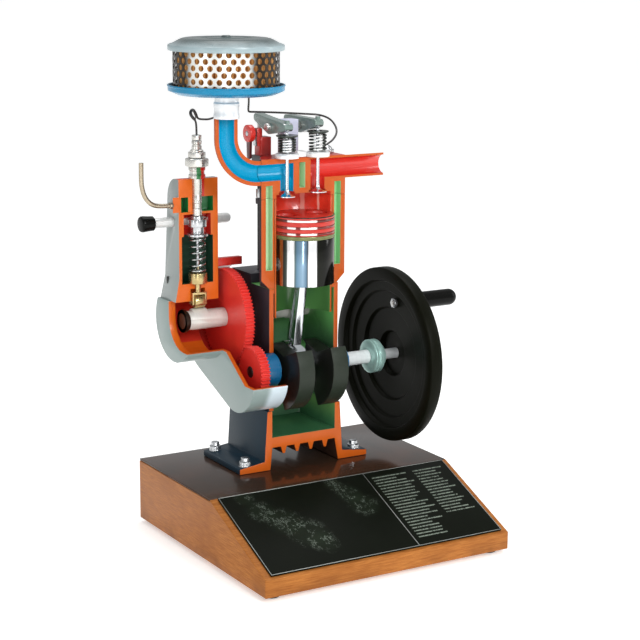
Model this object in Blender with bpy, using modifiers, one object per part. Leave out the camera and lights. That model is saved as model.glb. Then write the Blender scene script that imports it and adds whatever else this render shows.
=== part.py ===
"""Cutaway teaching model of a single-cylinder four-stroke diesel engine on a sloping desk plinth.

Metres, +Z up. +X runs along the crankshaft towards the flywheel, +Y points to the back.
Engine sizes are measured from the crankshaft's vertical plane (Y = 0), which is also the plane that
the castings are cut open on, and from the plinth's flat top (Z = 0). One parent empty moves the whole
model so that its origin is the middle of its footprint, on the table.
"""
import math

import bmesh
import bpy
from mathutils import Matrix, Vector

# Clearances and cutting
GAP = 0.0003
OVERRUN = 0.004
MERGE = 0.00001
STEPS = 24
FINE_STEPS = 36
SMALL_STEPS = 14

# Plinth
BASE_WIDTH = 0.350
BASE_DEPTH = 0.342
BASE_HEIGHT = 0.0815
BASE_FRONT_HEIGHT = 0.0225
BASE_BACK = 0.1335
BASE_FLAT_DEPTH = 0.2015
BASE_BEVEL = 0.0015
BOARD_THICKNESS = 0.0025
FOOT_RADIUS = 0.010
FOOT_HEIGHT = 0.005
FOOT_INSET = 0.018
PANEL_MARGIN = 0.009
PANEL_END_MARGIN = 0.0035
PANEL_THICKNESS = 0.003

# Cylinder and crank mechanism
CYLINDER_X = -0.004
BORE_RADIUS = 0.0395
CRANK_Z = 0.1343
CRANK_THROW = 0.029
ROD_LENGTH = 0.128
CRANK_ANGLE = math.radians(70)
WEB_GAP = 0.027
WEB_THICKNESS = 0.0225
WEB_RADIUS = 0.054
WEB_SECTOR = math.radians(54)
PIN_END_RADIUS = 0.0165
SHAFT_RADIUS = 0.009
CRANKPIN_RADIUS = 0.011
WRIST_PIN_RADIUS = 0.0085

# Bearings of the crankshaft
LEFT_BEARING_RADIUS = 0.021
LEFT_BEARING_START = -0.0685
LEFT_BEARING_END = -0.0470
RIGHT_BEARING_RADIUS = 0.017
RIGHT_BEARING_START = 0.0365
RIGHT_BEARING_END = 0.0560

# Timing gears
GEAR_MODULE = 0.0015
CRANK_TEETH = 41
CAM_TEETH = 82
PRESSURE_ANGLE = math.radians(20)
TOOTH_BACKLASH = 0.0004
GEAR_LEFT = -0.0810
GEAR_THICKNESS = 0.0120
CAM_Y = 0.0715

# Piston and rings
CROWN_ABOVE_PIN = 0.0617
SKIRT_BELOW_PIN = 0.0263
PISTON_WALL = 0.0055
CROWN_THICKNESS = 0.010
RING_GROOVE_DEPTH = 0.0032
RING_HEIGHT = 0.0026
OIL_RING_HEIGHT = 0.0045
RING_TOPS = (0.0035, 0.0122, 0.0200, 0.0242)
POCKET_DEPTH = 0.0032
POCKET_MARGIN = 0.0014

# Connecting rod
ROD_WIDTH = 0.0262
SMALL_END_RADIUS = 0.0140
SMALL_END_WIDTH = 0.022
BIG_END_RADIUS = 0.0180
SHANK_WIDTH_TOP = 0.013
SHANK_WIDTH_BOTTOM = 0.019
SHANK_THICKNESS = 0.011
SHANK_RECESS = 0.0032
CAP_EAR = 0.0055
CAP_EAR_HEIGHT = 0.007
ROD_BOLT_RADIUS = 0.0028

# Crankcase and sump stand
STAND_TOP = 0.0788
STAND_DEPTH = 0.102
STAND_WALL_OUTER = (-0.0600, 0.0565)
STAND_WALL_TOP_OUTER = (-0.0559, 0.0522)
STAND_WALL_TOP_INNER = (-0.0488, 0.0446)
STAND_WALL_FOOT_INNER = (-0.0515, 0.0500)
STAND_FLANGE_OUTER = (-0.0962, 0.0944)
STAND_FLANGE_EDGE = 0.0075
STAND_FLANGE_ROOT = 0.0125
STAND_FLOOR_TOP = 0.0437
STAND_FLOOR_BOTTOM = 0.0296
STAND_BACK_WALL = 0.006
FIN_TIP = 0.0202
FIN_ROOT_WIDTH = 0.009
FIN_TIP_WIDTH = 0.0035
FIN_PLACES = (-0.0318, -0.0119, 0.0086, 0.0300)
BOLT_X = (-0.0835, 0.0795)
BOLT_Y = (0.0100, 0.0930)
BOLT_HEAD_RADIUS = 0.0056
BOLT_HEAD_HEIGHT = 0.005
WASHER_RADIUS = 0.0078
WASHER_HEIGHT = 0.0016
CASE_LEFT = -0.0535
CASE_RIGHT = 0.0475
CASE_WALL = 0.0060
CASE_DEPTH = 0.100
CASE_SHOULDER = 0.2380
CASE_TOP = 0.2500
DECK_THICKNESS = 0.006

# Cylinder block, liner and head
CROWN_PROUD = 0.0010
BLOCK_HALF_WIDTH = 0.0610
BLOCK_DEPTH = 0.0480
BLOCK_CORNER = 0.0200
BLOCK_FACE_DEPTH = 0.0050
BLOCK_FLANK_WIDTH = 0.0575
FLANK_STEPS = 10
JACKET_DEPTH = 0.0100
EAR_RADIUS = 0.0045
EAR_HEIGHT = 0.0070
HEAD_NUT_RADIUS = 0.0040
HEAD_NUT_HEIGHT = 0.0105
HEAD_NUT_PLACE = (-0.0572, 0.0200)
HEAD_HEIGHT = 0.0500
CHAMBER_HEIGHT = 0.0050
HEAD_JACKET_HEIGHT = 0.0170
MIDDLE_JACKET_LOW = 0.0120
MIDDLE_JACKET_DROP = 0.0060
SEAT_BOSS_HEIGHT = 0.0065
BLOCK_CHAMFER = 0.008
LINER_WALL = 0.0025
LINER_BOTTOM = 0.2000
JACKET_INNER = 0.0450
JACKET_OUTER = 0.0545
JACKET_BOTTOM = 0.2620
MIDDLE_JACKET = (-0.0105, -0.0020)
SEAT_BOSS_RADIUS = 0.0152

# Valve gear
INTAKE_X = -0.0285
EXHAUST_X = 0.0160
VALVE_STEM_RADIUS = 0.0023
INTAKE_HEAD_RADIUS = 0.0112
EXHAUST_HEAD_RADIUS = 0.0122
PORT_THROAT_SHARE = 0.84
VALVE_RIM = 0.0014
VALVE_CONE = 0.0050
VALVE_TIP_HEIGHT = 0.0290
RETAINER_DROP = 0.0030
RETAINER_RADIUS = 0.0138
RETAINER_THICKNESS = 0.0030
INTAKE_OPEN = 0.0035
VALVE_LIFT = 0.0060
SPRING_COIL_RADIUS = 0.0105
SPRING_WIRE_RADIUS = 0.0011
SPRING_TURNS = 5
ROCKER_PIVOT_Y = 0.0360
ROCKER_PIVOT_HEIGHT = 0.0005
ROCKER_HEIGHT = 0.0115
ADJUSTER_HEIGHT = 0.0150
ROCKER_ARM = 0.0355
ROCKER_WIDTH = 0.0120
ROCKER_BOSS_RADIUS = 0.0090
ROCKER_END_RADIUS = 0.0050
ROCKER_SHAFT_RADIUS = 0.0050
ROCKER_SHAFT_OVERHANG = 0.0105
PEDESTAL_X = (-0.0165, 0.0035)
PEDESTAL_DEPTH = 0.018
ADJUSTER_RADIUS = 0.0032
PUSHROD_RADIUS = 0.0026
PUSHROD_CUP_RADIUS = 0.0042
TAPPET_FOOT_RADIUS = 0.0085
TAPPET_FOOT_HEIGHT = 0.0050
PUSHROD_HOLE_MARGIN = 0.0012

# Ports, intake duct and exhaust stub
PORT_RADIUS = 0.0104
DUCT_RADIUS = 0.0155
DUCT_X = -0.1132
DUCT_BEND = 0.0450
DUCT_DROP = 0.0167
DUCT_RISE = 0.0697
EXHAUST_DROP = 0.0148
EXHAUST_END = 0.1145
EXHAUST_PORT_RADIUS = 0.0118
EXHAUST_RADIUS = 0.0145
NECK_RADIUS = 0.0158
NECK_HEIGHT = 0.0296
NECK_BORE = 0.0125

# Air filter
TRAY_RADIUS = 0.0718
TRAY_FLOOR_RADIUS = 0.0600
TRAY_SEAT = 0.0004
TRAY_DEPTH = 0.0120
SHEET = 0.0022
SCREEN_RADIUS = 0.0648
SCREEN_THICKNESS = 0.0016
SCREEN_HEIGHT = 0.0522
ELEMENT_RADIUS = 0.0590
ELEMENT_BORE = 0.0400
ELEMENT_PLEATS = 36
ELEMENT_PLEAT_DEPTH = 0.0040
LID_RADIUS = 0.0709
LID_RIM_HEIGHT = 0.0080
LID_HEIGHT = 0.0150
LID_CROWN_RADIUS = 0.0540
LID_KNOB_RADIUS = 0.0060
LID_KNOB_HEIGHT = 0.0030

# Flywheel, hub and handle
FLYWHEEL_LEFT = 0.1178
FLYWHEEL_RADIUS = 0.1154
RIM_THICKNESS = 0.0165
RIM_DEPTH = 0.0170
WHEEL_WEB = 0.0080
WHEEL_STEPS = ((0.0965, 0.0060), (0.0830, 0.0100), (0.0600, 0.0145), (0.0280, 0.0205))
WHEEL_RISER = 0.0025
WHEEL_HUB_RADIUS = 0.0190
WHEEL_HUB_END = 0.0370
COLLAR_RADIUS = 0.0220
COLLAR_START = 0.0940
COLLAR_LENGTH = 0.0140
COLLAR_HUB_RADIUS = 0.0150
COLLAR_HUB_LENGTH = 0.0060
SPIGOT_RADIUS = 0.0068
HANDLE_Y = -0.0145
HANDLE_RISE = 0.0710
HANDLE_START = 0.1500
HANDLE_END = 0.2220
GRIP_RADIUS = 0.0110
HANDLE_PIN_RADIUS = 0.0040
HANDLE_NUT_RADIUS = 0.0070
HANDLE_NUT_HEIGHT = 0.0050

# Camshaft
CAMSHAFT_RADIUS = 0.0123
CAMSHAFT_LEFT = -0.1410
CAM_COLLAR_RADIUS = 0.0148
CAM_COLLAR_LENGTH = 0.0040
PUMP_CAM_START = -0.1280
PUMP_CAM_END = -0.1080
PUMP_CAM_LIFT = 0.0027
INNER_SHAFT_RADIUS = 0.0100
INNER_SHAFT_END = 0.0460
VALVE_LOBE_WIDTH = 0.0120
VALVE_LOBE_RADIUS = 0.0115
VALVE_LOBE_LIFT = 0.0060

# Timing cover and gear case
DRUM_RADIUS = 0.0520
DRUM_WALL = 0.0060
DRUM_LEFT = -0.1530
DRUM_PLATE = 0.0095
COVER_LEFT = -0.1030
COVER_PLATE = 0.0055
COVER_JOIN = -0.0900
COVER_CAM_RADIUS = 0.0770
COVER_CRANK_RADIUS = 0.0495
CASE_RING = 0.0105
COVER_WALL = 0.0052
CUT_BACK_Y = 0.0850
CUT_SHELF_Z = 0.1580
CUT_FILLET = 0.0400
CUT_SLOPE_TOP_Y = 0.0240
CUT_SLOPE_LOW_Y = -0.0260
CUT_SILL_Z = 0.1240
PUMP_SEAT_Z = 0.2170

# Injection pump
PUMP_X = -0.1180
PUMP_LEFT = -0.1440
PUMP_RIGHT = -0.0887
PUMP_TOP = 0.3740
PUMP_DEPTH_TOP = 0.0300
PUMP_DEPTH_BOTTOM = 0.0440
PUMP_FLARE = 0.0055
PUMP_FLARE_HEIGHT = 0.030
PUMP_CROWN_FLAT = 0.0100
PUMP_CROWN_DROP = 0.0260
INLET_BOSS_RADIUS = 0.0100
INLET_BOSS_LENGTH = 0.0080
INLET_Z = 0.3420
INLET_Y = CAM_Y
BARREL_RADIUS = 0.0062
BARREL_BORE = 0.0026
BARREL_BOTTOM = 0.3270
GALLERY_BOTTOM = 0.3320
GALLERY_TOP = 0.3510
GALLERY_HALF_WIDTH = 0.0225
GALLERY_DEPTH = 0.0150
SLEEVE_ROOM_BOTTOM = 0.3010
SLEEVE_ROOM_TOP = 0.3290
SLEEVE_ROOM_HALF_WIDTH = 0.0190
SLEEVE_ROOM_DEPTH = 0.0150
SPRING_ROOM_BOTTOM = 0.2400
SPRING_ROOM_HALF_WIDTH = 0.0220
SPRING_ROOM_DEPTH = 0.0200
SLEEVE_RADIUS = 0.0085
SLEEVE_FLANGE_RADIUS = 0.0135
SLEEVE_RING_RADIUS = 0.0120
SLEEVE_BORE = 0.0050
PLUNGER_RADIUS = 0.0022
TAPPET_RADIUS = 0.0120
TAPPET_HEIGHT = 0.0135
TAPPET_STEM_RADIUS = 0.0040
TAPPET_LIFT = 0.0040
ROLLER_RADIUS = 0.0086
ROLLER_WIDTH = 0.0140
ROLLER_PIN_RADIUS = 0.0024
FORK_CHEEK = 0.0024
FORK_DEPTH = 0.0110
FORK_BRIDGE = 0.0030
PUMP_SPRING_COIL_RADIUS = 0.0100
PUMP_SPRING_WIRE_RADIUS = 0.0012
PUMP_SPRING_TURNS = 6
ROD_Y = 0.0912
ROD_Z = 0.3180
CONTROL_ROD_RADIUS = 0.0064
CONTROL_ROD_LEFT = -0.1735
CONTROL_ROD_RIGHT = -0.0610
KNOB_RADIUS = 0.0103
KNOB_LENGTH = 0.0150
UNION_COLLAR_RADIUS = 0.0108
UNION_COLLAR_TOP = 0.3890
UNION_HEX_RADIUS = 0.0150
UNION_HEX_TOP = 0.4000
UNION_SMALL_HEX_RADIUS = 0.0112
UNION_SMALL_HEX_TOP = 0.4080
UNION_NECK_RADIUS = 0.0065
UNION_NECK_TOP = 0.4225
UNION_NUT_RADIUS = 0.0064
UNION_NUT_TOP = 0.4290

# Pipes, injector and decompression lever
PIPE_RADIUS = 0.0013
INLET_PIPE_RADIUS = 0.0030
INLET_NIPPLE_RADIUS = 0.0045
INLET_NIPPLE_LENGTH = 0.0050
PIPE_POINT_SPACING = 0.0065
PIPE_SEAT_DEPTH = 0.0020
PIPE_START = ((0, 0, 0.0100), (-0.0030, 0, 0.0220), (-0.0010, 0.0040, 0.0290),
              (0.0040, 0.0070, 0.0220), (0.0140, 0.0120, 0.0190))
PIPE_RUN = ((-0.0920, 0.0860, 0.0460), (-0.0780, 0.0890, 0.0500), (-0.0730, 0.0900, 0.0640),
            (-0.0670, 0.0900, 0.0740), (-0.0520, 0.0900, 0.0740), (-0.0440, 0.0900, 0.0640),
            (-0.0400, 0.0900, 0.0530), (-0.0300, 0.0900, 0.0505), (0.0100, 0.0880, 0.0480),
            (0.0390, 0.0780, 0.0450), (0.0590, 0.0600, 0.0390), (0.0655, 0.0440, 0.0300),
            (0.0590, 0.0330, 0.0205))
PIPE_END = (0.0010, 0.0010, 0.0070)
FEED_ROUTE = ((-0.0508, 0, 0.0560), (-0.0510, 0, 0.0400), (-0.0508, 0, 0.0270),
              (-0.0470, 0, 0.0130), (-0.0380, 0, 0.0030), (-0.0260, 0, 0))
INJECTOR_X = 0.0455
INJECTOR_Y = 0.0280
INJECTOR_RADIUS = 0.0075
INJECTOR_DEPTH = 0.0120
INJECTOR_HEIGHT = 0.0100
INJECTOR_HEX_HEIGHT = 0.0055
BRACKET_SIZE = (0.0150, 0.0160)
BRACKET_HEIGHT = 0.0225
BRACKET_PLACE = (-0.0335, 0.0530)
BRACKET_LUG_HEIGHT = 0.0120
BRACKET_LUG_WIDTH = 0.0210
LEVER_HEIGHT = 0.0270
LEVER_X = -0.0515
LEVER_Y = 0.0560
LEVER_BOSS_RADIUS = 0.0110
LEVER_THICKNESS = 0.0070
LEVER_LENGTH = 0.0290
LEVER_END_RADIUS = 0.0038
LEVER_PIN_RADIUS = 0.0032

# Derived places
PIN_Y = CRANK_THROW * math.sin(CRANK_ANGLE)
PIN_RISE = CRANK_THROW * math.cos(CRANK_ANGLE)
ROD_TILT = math.asin(PIN_Y / ROD_LENGTH)
WRIST_Z = CRANK_Z + PIN_RISE + ROD_LENGTH * math.cos(ROD_TILT)
BLOCK_TOP = CRANK_Z + CRANK_THROW + ROD_LENGTH + CROWN_ABOVE_PIN - CROWN_PROUD
CHAMBER_ROOF = BLOCK_TOP + CHAMBER_HEIGHT
HEAD_JACKET_ROOF = BLOCK_TOP + HEAD_JACKET_HEIGHT
HEAD_TOP = BLOCK_TOP + HEAD_HEIGHT
MIDDLE_JACKET_BOTTOM = BLOCK_TOP + MIDDLE_JACKET_LOW
MIDDLE_JACKET_TOP = HEAD_TOP - MIDDLE_JACKET_DROP
SEAT_BOSS_TOP = HEAD_TOP + SEAT_BOSS_HEIGHT
VALVE_TIP = SEAT_BOSS_TOP + VALVE_TIP_HEIGHT
RETAINER_TOP = VALVE_TIP - RETAINER_DROP
ROCKER_PIVOT_Z = VALVE_TIP + ROCKER_PIVOT_HEIGHT
ROCKER_TOP = VALVE_TIP + ROCKER_HEIGHT
ADJUSTER_TOP = VALVE_TIP + ADJUSTER_HEIGHT
INJECTOR_TOP = HEAD_TOP + INJECTOR_HEIGHT
LEVER_Z = HEAD_TOP + LEVER_HEIGHT
DUCT_Z = HEAD_TOP - DUCT_DROP
EXHAUST_Z = HEAD_TOP - EXHAUST_DROP
DUCT_TOP = DUCT_Z + DUCT_RISE
NECK_TOP = DUCT_TOP + NECK_HEIGHT
TRAY_BOTTOM = NECK_TOP + TRAY_SEAT
TRAY_TOP = TRAY_BOTTOM + TRAY_DEPTH
SCREEN_TOP = TRAY_BOTTOM + SCREEN_HEIGHT
LID_RIM_BOTTOM = SCREEN_TOP + GAP
LID_TOP = LID_RIM_BOTTOM + LID_HEIGHT
GEAR_DISTANCE = GEAR_MODULE * (CRANK_TEETH + CAM_TEETH) / 2
CAM_Z = CRANK_Z + math.sqrt(GEAR_DISTANCE ** 2 - CAM_Y ** 2)
GEAR_DIRECTION = math.atan2(CAM_Z - CRANK_Z, CAM_Y)
TDC_RISE = CRANK_Z + CRANK_THROW + ROD_LENGTH - WRIST_Z
BDC_DROP = WRIST_Z - (CRANK_Z - CRANK_THROW + ROD_LENGTH)
PISTON_RADIUS = BORE_RADIUS - GAP
LINER_RADIUS = BORE_RADIUS + LINER_WALL
CROWN_Z = WRIST_Z + CROWN_ABOVE_PIN
GEAR_RIGHT = GEAR_LEFT + GEAR_THICKNESS
CASE_SIDE = CASE_LEFT - GAP
BLOCK_LEFT = CYLINDER_X - BLOCK_HALF_WIDTH
BLOCK_RIGHT = CYLINDER_X + BLOCK_HALF_WIDTH
WEB_LEFT_FACE = CYLINDER_X - WEB_GAP / 2 - WEB_THICKNESS
WEB_RIGHT_FACE = CYLINDER_X + WEB_GAP / 2 + WEB_THICKNESS
CAM_CONTACT_Z = CAM_Z + CAMSHAFT_RADIUS + PUMP_CAM_LIFT
ROLLER_Z = CAM_CONTACT_Z + GAP + ROLLER_RADIUS
HANDLE_Z = CRANK_Z + HANDLE_RISE
PUSHROD_FOOT_Z = CAM_Z + VALVE_LOBE_RADIUS + VALVE_LOBE_LIFT + GAP
HEAD_BOTTOM = BLOCK_TOP + GAP
SLOPE_RUN = BASE_DEPTH - BASE_FLAT_DEPTH
SLOPE_DROP = BASE_HEIGHT - BASE_FRONT_HEIGHT
SLOPE_ANGLE = math.atan2(SLOPE_DROP, SLOPE_RUN)

# Turns that lay a piece's local Z along X or Y, and a flat outline in the XZ or YZ plane
ALONG_X = (0, math.pi / 2, 0)
ALONG_Y = (-math.pi / 2, 0, 0)
ALONG_Z = (0, 0, 0)
IN_XZ = (math.pi / 2, 0, 0)
IN_YZ = (math.pi / 2, 0, math.pi / 2)


# Scene helpers
def clear_scene():
    for obj in list(bpy.data.objects):
        bpy.data.objects.remove(obj, do_unlink=True)


def new_collection(name):
    collection = bpy.data.collections.new(name)
    bpy.context.scene.collection.children.link(collection)
    return collection


def axis_empty(name, place, parent=None):
    empty = bpy.data.objects.new(name, None)
    MODEL.objects.link(empty)
    empty.location = place
    empty.parent = parent
    return empty


def paint(name, colour, roughness, metallic=0.0):
    material = bpy.data.materials.new(name)
    material.use_nodes = True
    shader = material.node_tree.nodes["Principled BSDF"]
    shader.inputs["Base Color"].default_value = (*colour, 1.0)
    shader.inputs["Roughness"].default_value = roughness
    shader.inputs["Metallic"].default_value = metallic
    material.diffuse_color = (*colour, 1.0)
    return material


def keep(obj, material, parent=None):
    """Put a finished piece in the model, under its body's empty, at its engine coordinates."""
    MODEL.objects.link(obj)
    parent = parent or ENGINE
    obj.parent = parent
    if parent is not ENGINE:
        obj.location = Vector(obj.location) - parent.location
    obj.data.materials.clear()
    obj.data.materials.append(material)
    return obj


def combine(obj, other, operation):
    """Boolean one helper body into a piece."""
    if not other.users_collection:
        CUTTERS.objects.link(other)
        other.parent = ENGINE
        other.hide_render = True
        other.display_type = "WIRE"
    boolean = obj.modifiers.new(operation.lower(), "BOOLEAN")
    boolean.operation = operation
    boolean.object = other
    return obj


def cut(obj, *others):
    for other in others:
        combine(obj, other, "DIFFERENCE")
    return obj


def join(obj, *others):
    for other in others:
        combine(obj, other, "UNION")
    return obj


def bevel(obj, width, segments=2, angle=math.radians(50)):
    modifier = obj.modifiers.new("bevel", "BEVEL")
    modifier.width = width
    modifier.segments = segments
    modifier.limit_method = "ANGLE"
    modifier.angle_limit = angle
    return obj


# Shape helpers
def mesh_object(name, bm, place, turn=ALONG_Z):
    mesh = bpy.data.meshes.new(name)
    bm.to_mesh(mesh)
    bm.free()
    obj = bpy.data.objects.new(name, mesh)
    obj.location = place
    obj.rotation_euler = turn
    return obj


def box(name, low, high):
    """A box between two opposite corners."""
    low, high = Vector(low), Vector(high)
    bm = bmesh.new()
    bmesh.ops.create_cube(bm, size=1)
    bmesh.ops.scale(bm, vec=high - low, verts=bm.verts)
    return mesh_object(name, bm, (low + high) / 2)


def rod(name, radius, start, length, turn=ALONG_Z, end_radius=None, steps=STEPS, spin=0):
    """A cylinder or cone that starts at a point and runs along the turned Z axis."""
    bm = bmesh.new()
    bmesh.ops.create_cone(bm, cap_ends=True, segments=steps, radius1=radius,
                          radius2=radius if end_radius is None else end_radius, depth=length)
    bmesh.ops.translate(bm, vec=(0, 0, length / 2), verts=bm.verts)
    if spin:
        bmesh.ops.rotate(bm, matrix=Matrix.Rotation(spin, 3, "Z"), verts=bm.verts)
    return mesh_object(name, bm, start, turn)


def turned(name, profile, place=(0, 0, 0), turn=ALONG_Z, ring=False, steps=STEPS):
    """A turned piece. The profile lists (radius, height) down its outer side, and a ring's back up."""
    bm = bmesh.new()
    points = [bm.verts.new((radius, 0, height)) for radius, height in profile]
    for first, second in zip(points, points[1:]):
        bm.edges.new((first, second))
    if ring:
        bm.edges.new((points[-1], points[0]))
    obj = mesh_object(name, bm, place, turn)
    screw = obj.modifiers.new("screw", "SCREW")
    screw.angle = math.tau
    screw.steps = steps
    screw.render_steps = steps
    screw.use_merge_vertices = True
    screw.merge_threshold = MERGE
    return obj


def as_mesh(curve_object):
    """Turn a curve object into a mesh object with welded caps, in the same place."""
    bpy.context.scene.collection.objects.link(curve_object)
    graph = bpy.context.evaluated_depsgraph_get()
    mesh = bpy.data.meshes.new_from_object(curve_object.evaluated_get(graph))
    bm = bmesh.new()
    bm.from_mesh(mesh)
    bmesh.ops.remove_doubles(bm, verts=bm.verts, dist=MERGE)
    bmesh.ops.recalc_face_normals(bm, faces=bm.faces)
    bm.to_mesh(mesh)
    bm.free()
    obj = bpy.data.objects.new(curve_object.name + "_mesh", mesh)
    obj.matrix_world = curve_object.matrix_world
    name = curve_object.name
    bpy.data.objects.remove(curve_object)
    obj.name = name
    return obj


def flat(name, loops, thickness, place=(0, 0, 0), turn=ALONG_Z):
    """A flat outline, with any holes as further loops, of the given thickness from its place on."""
    curve = bpy.data.curves.new(name, "CURVE")
    curve.dimensions = "2D"
    curve.fill_mode = "BOTH"
    curve.extrude = thickness / 2
    for loop in loops:
        spline = curve.splines.new("POLY")
        spline.points.add(len(loop) - 1)
        for point, (x, y) in zip(spline.points, loop):
            point.co = (x, y, 0, 1)
        spline.use_cyclic_u = True
    obj = as_mesh(bpy.data.objects.new(name, curve))
    for vertex in obj.data.vertices:
        vertex.co.z += thickness / 2
    obj.location = place
    obj.rotation_euler = turn
    return obj


def tube(name, points, radius, resolution, tilt=0):
    """A round bar or pipe along a list of points, with closed ends."""
    curve = bpy.data.curves.new(name, "CURVE")
    curve.dimensions = "3D"
    curve.bevel_depth = radius
    curve.bevel_resolution = resolution
    curve.use_fill_caps = True
    spline = curve.splines.new("POLY")
    spline.points.add(len(points) - 1)
    for point, place in zip(spline.points, points):
        point.co = (*place, 1)
        point.tilt = tilt
    return as_mesh(bpy.data.objects.new(name, curve))


def smooth_route(route, spacing):
    """Points read at an even spacing from a smooth curve through the route's own points."""
    route = [Vector(point) for point in route]
    ends = [2 * route[0] - route[1]] + route + [2 * route[-1] - route[-2]]
    points = []
    for before, start, end, after in zip(ends, ends[1:], ends[2:], ends[3:]):
        count = max(1, round((end - start).length / spacing))
        for step in range(count):
            share = step / count
            curve = 2 * start + (end - before) * share
            curve += (2 * before - 5 * start + 4 * end - after) * share ** 2
            curve += (3 * start - before - 3 * end + after) * share ** 3
            points.append(curve / 2)
    return points + [route[-1]]


def circle_points(centre, radius, steps, start=0, end=math.tau):
    count = steps if end - start >= math.tau else steps + 1
    angles = [start + (end - start) * step / steps for step in range(count)]
    return [(centre[0] + radius * math.cos(a), centre[1] + radius * math.sin(a)) for a in angles]


def hull(points):
    """The outline pulled tight round a set of points, anticlockwise."""
    points = sorted(set(points))

    def half(ordered):
        chain = []
        for point in ordered:
            while len(chain) > 1:
                (ax, ay), (bx, by) = chain[-2], chain[-1]
                if (bx - ax) * (point[1] - ay) - (by - ay) * (point[0] - ax) > 0:
                    break
                chain.pop()
            chain.append(point)
        return chain[:-1]

    return half(points) + half(points[::-1])


def belt(circles, steps=STEPS):
    """The outline of a belt round some circles, each given as (centre, radius)."""
    return hull([point for centre, radius in circles for point in circle_points(centre, radius, steps)])


# Plinth
def base_plinth():
    back = BASE_BACK
    front = BASE_BACK - BASE_DEPTH
    outline = [(back, -BASE_HEIGHT), (back, -BOARD_THICKNESS - GAP),
               (back - BASE_FLAT_DEPTH, -BOARD_THICKNESS - GAP),
               (back - BASE_FLAT_DEPTH, -GAP),
               (front, -SLOPE_DROP), (front, -BASE_HEIGHT)]
    plinth = flat("base_plinth", [outline], BASE_WIDTH, (-BASE_WIDTH / 2, 0, 0), IN_YZ)
    for x in (-BASE_WIDTH / 2 + FOOT_INSET, BASE_WIDTH / 2 - FOOT_INSET):
        for y in (front + FOOT_INSET, back - FOOT_INSET):
            foot = rod("foot_body", FOOT_RADIUS, (x, y, -BASE_HEIGHT - FOOT_HEIGHT),
                       FOOT_HEIGHT + OVERRUN, steps=SMALL_STEPS)
            join(plinth, foot)
    return keep(plinth, WOOD)


def base_top_board():
    back = BASE_BACK
    front = back - BASE_FLAT_DEPTH + GAP
    half = BASE_WIDTH / 2
    board = box("base_top_board", (-half, front, -BOARD_THICKNESS), (half, back, 0))
    return keep(bevel(board, BASE_BEVEL / 2, 1), LAMINATE)


def info_panel():
    length = math.hypot(SLOPE_RUN, SLOPE_DROP) - 2 * PANEL_END_MARGIN
    panel = box("info_panel", (-BASE_WIDTH / 2 + PANEL_MARGIN, -length / 2, 0),
                (BASE_WIDTH / 2 - PANEL_MARGIN, length / 2, PANEL_THICKNESS))
    middle = Vector((0, BASE_BACK - BASE_FLAT_DEPTH - SLOPE_RUN / 2, -SLOPE_DROP / 2))
    normal = Vector((0, -math.sin(SLOPE_ANGLE), math.cos(SLOPE_ANGLE)))
    panel.location = middle + normal * (PANEL_THICKNESS / 2 + GAP)
    panel.rotation_euler = (SLOPE_ANGLE, 0, 0)
    return keep(bevel(panel, PANEL_THICKNESS / 4, 1), PANEL)


# Sump stand and crankcase
def stand_bolt(x, y):
    washer = rod("washer_body", WASHER_RADIUS, (x, y, STAND_FLANGE_EDGE), STAND_FLANGE_EDGE,
                 steps=SMALL_STEPS)
    head = rod("bolt_body", BOLT_HEAD_RADIUS, (x, y, STAND_FLANGE_EDGE),
               STAND_FLANGE_EDGE + BOLT_HEAD_HEIGHT, steps=6)
    return washer, head


def stand():
    inner_left, inner_right = STAND_WALL_TOP_INNER
    foot_left, foot_right = STAND_WALL_FOOT_INNER
    outline = [(STAND_WALL_TOP_OUTER[0], STAND_TOP), (STAND_WALL_OUTER[0], STAND_FLANGE_ROOT),
               (STAND_FLANGE_OUTER[0], STAND_FLANGE_EDGE), (STAND_FLANGE_OUTER[0], GAP),
               (foot_left, GAP), (inner_left, STAND_FLOOR_BOTTOM)]
    for place in FIN_PLACES:
        outline += [(place - FIN_ROOT_WIDTH / 2, STAND_FLOOR_BOTTOM),
                    (place - FIN_TIP_WIDTH / 2, FIN_TIP), (place + FIN_TIP_WIDTH / 2, FIN_TIP),
                    (place + FIN_ROOT_WIDTH / 2, STAND_FLOOR_BOTTOM)]
    outline += [(inner_right, STAND_FLOOR_BOTTOM), (foot_right, GAP),
                (STAND_FLANGE_OUTER[1], GAP), (STAND_FLANGE_OUTER[1], STAND_FLANGE_EDGE),
                (STAND_WALL_OUTER[1], STAND_FLANGE_ROOT), (STAND_WALL_TOP_OUTER[1], STAND_TOP),
                (inner_right, STAND_TOP), (inner_right, STAND_FLOOR_TOP),
                (inner_left, STAND_FLOOR_TOP), (inner_left, STAND_TOP)]
    body = flat("stand", [outline], STAND_DEPTH, (0, STAND_DEPTH, 0), IN_XZ)
    back = STAND_DEPTH - OVERRUN
    join(body, box("stand_back", (inner_left - OVERRUN, back - STAND_BACK_WALL,
                                  STAND_FLOOR_TOP - OVERRUN),
                   (inner_right + OVERRUN, back, STAND_TOP - OVERRUN / 2)))
    for x in BOLT_X:
        for y in BOLT_Y:
            join(body, *stand_bolt(x, y))
    return keep(body, BLUE_GREY)


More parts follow.
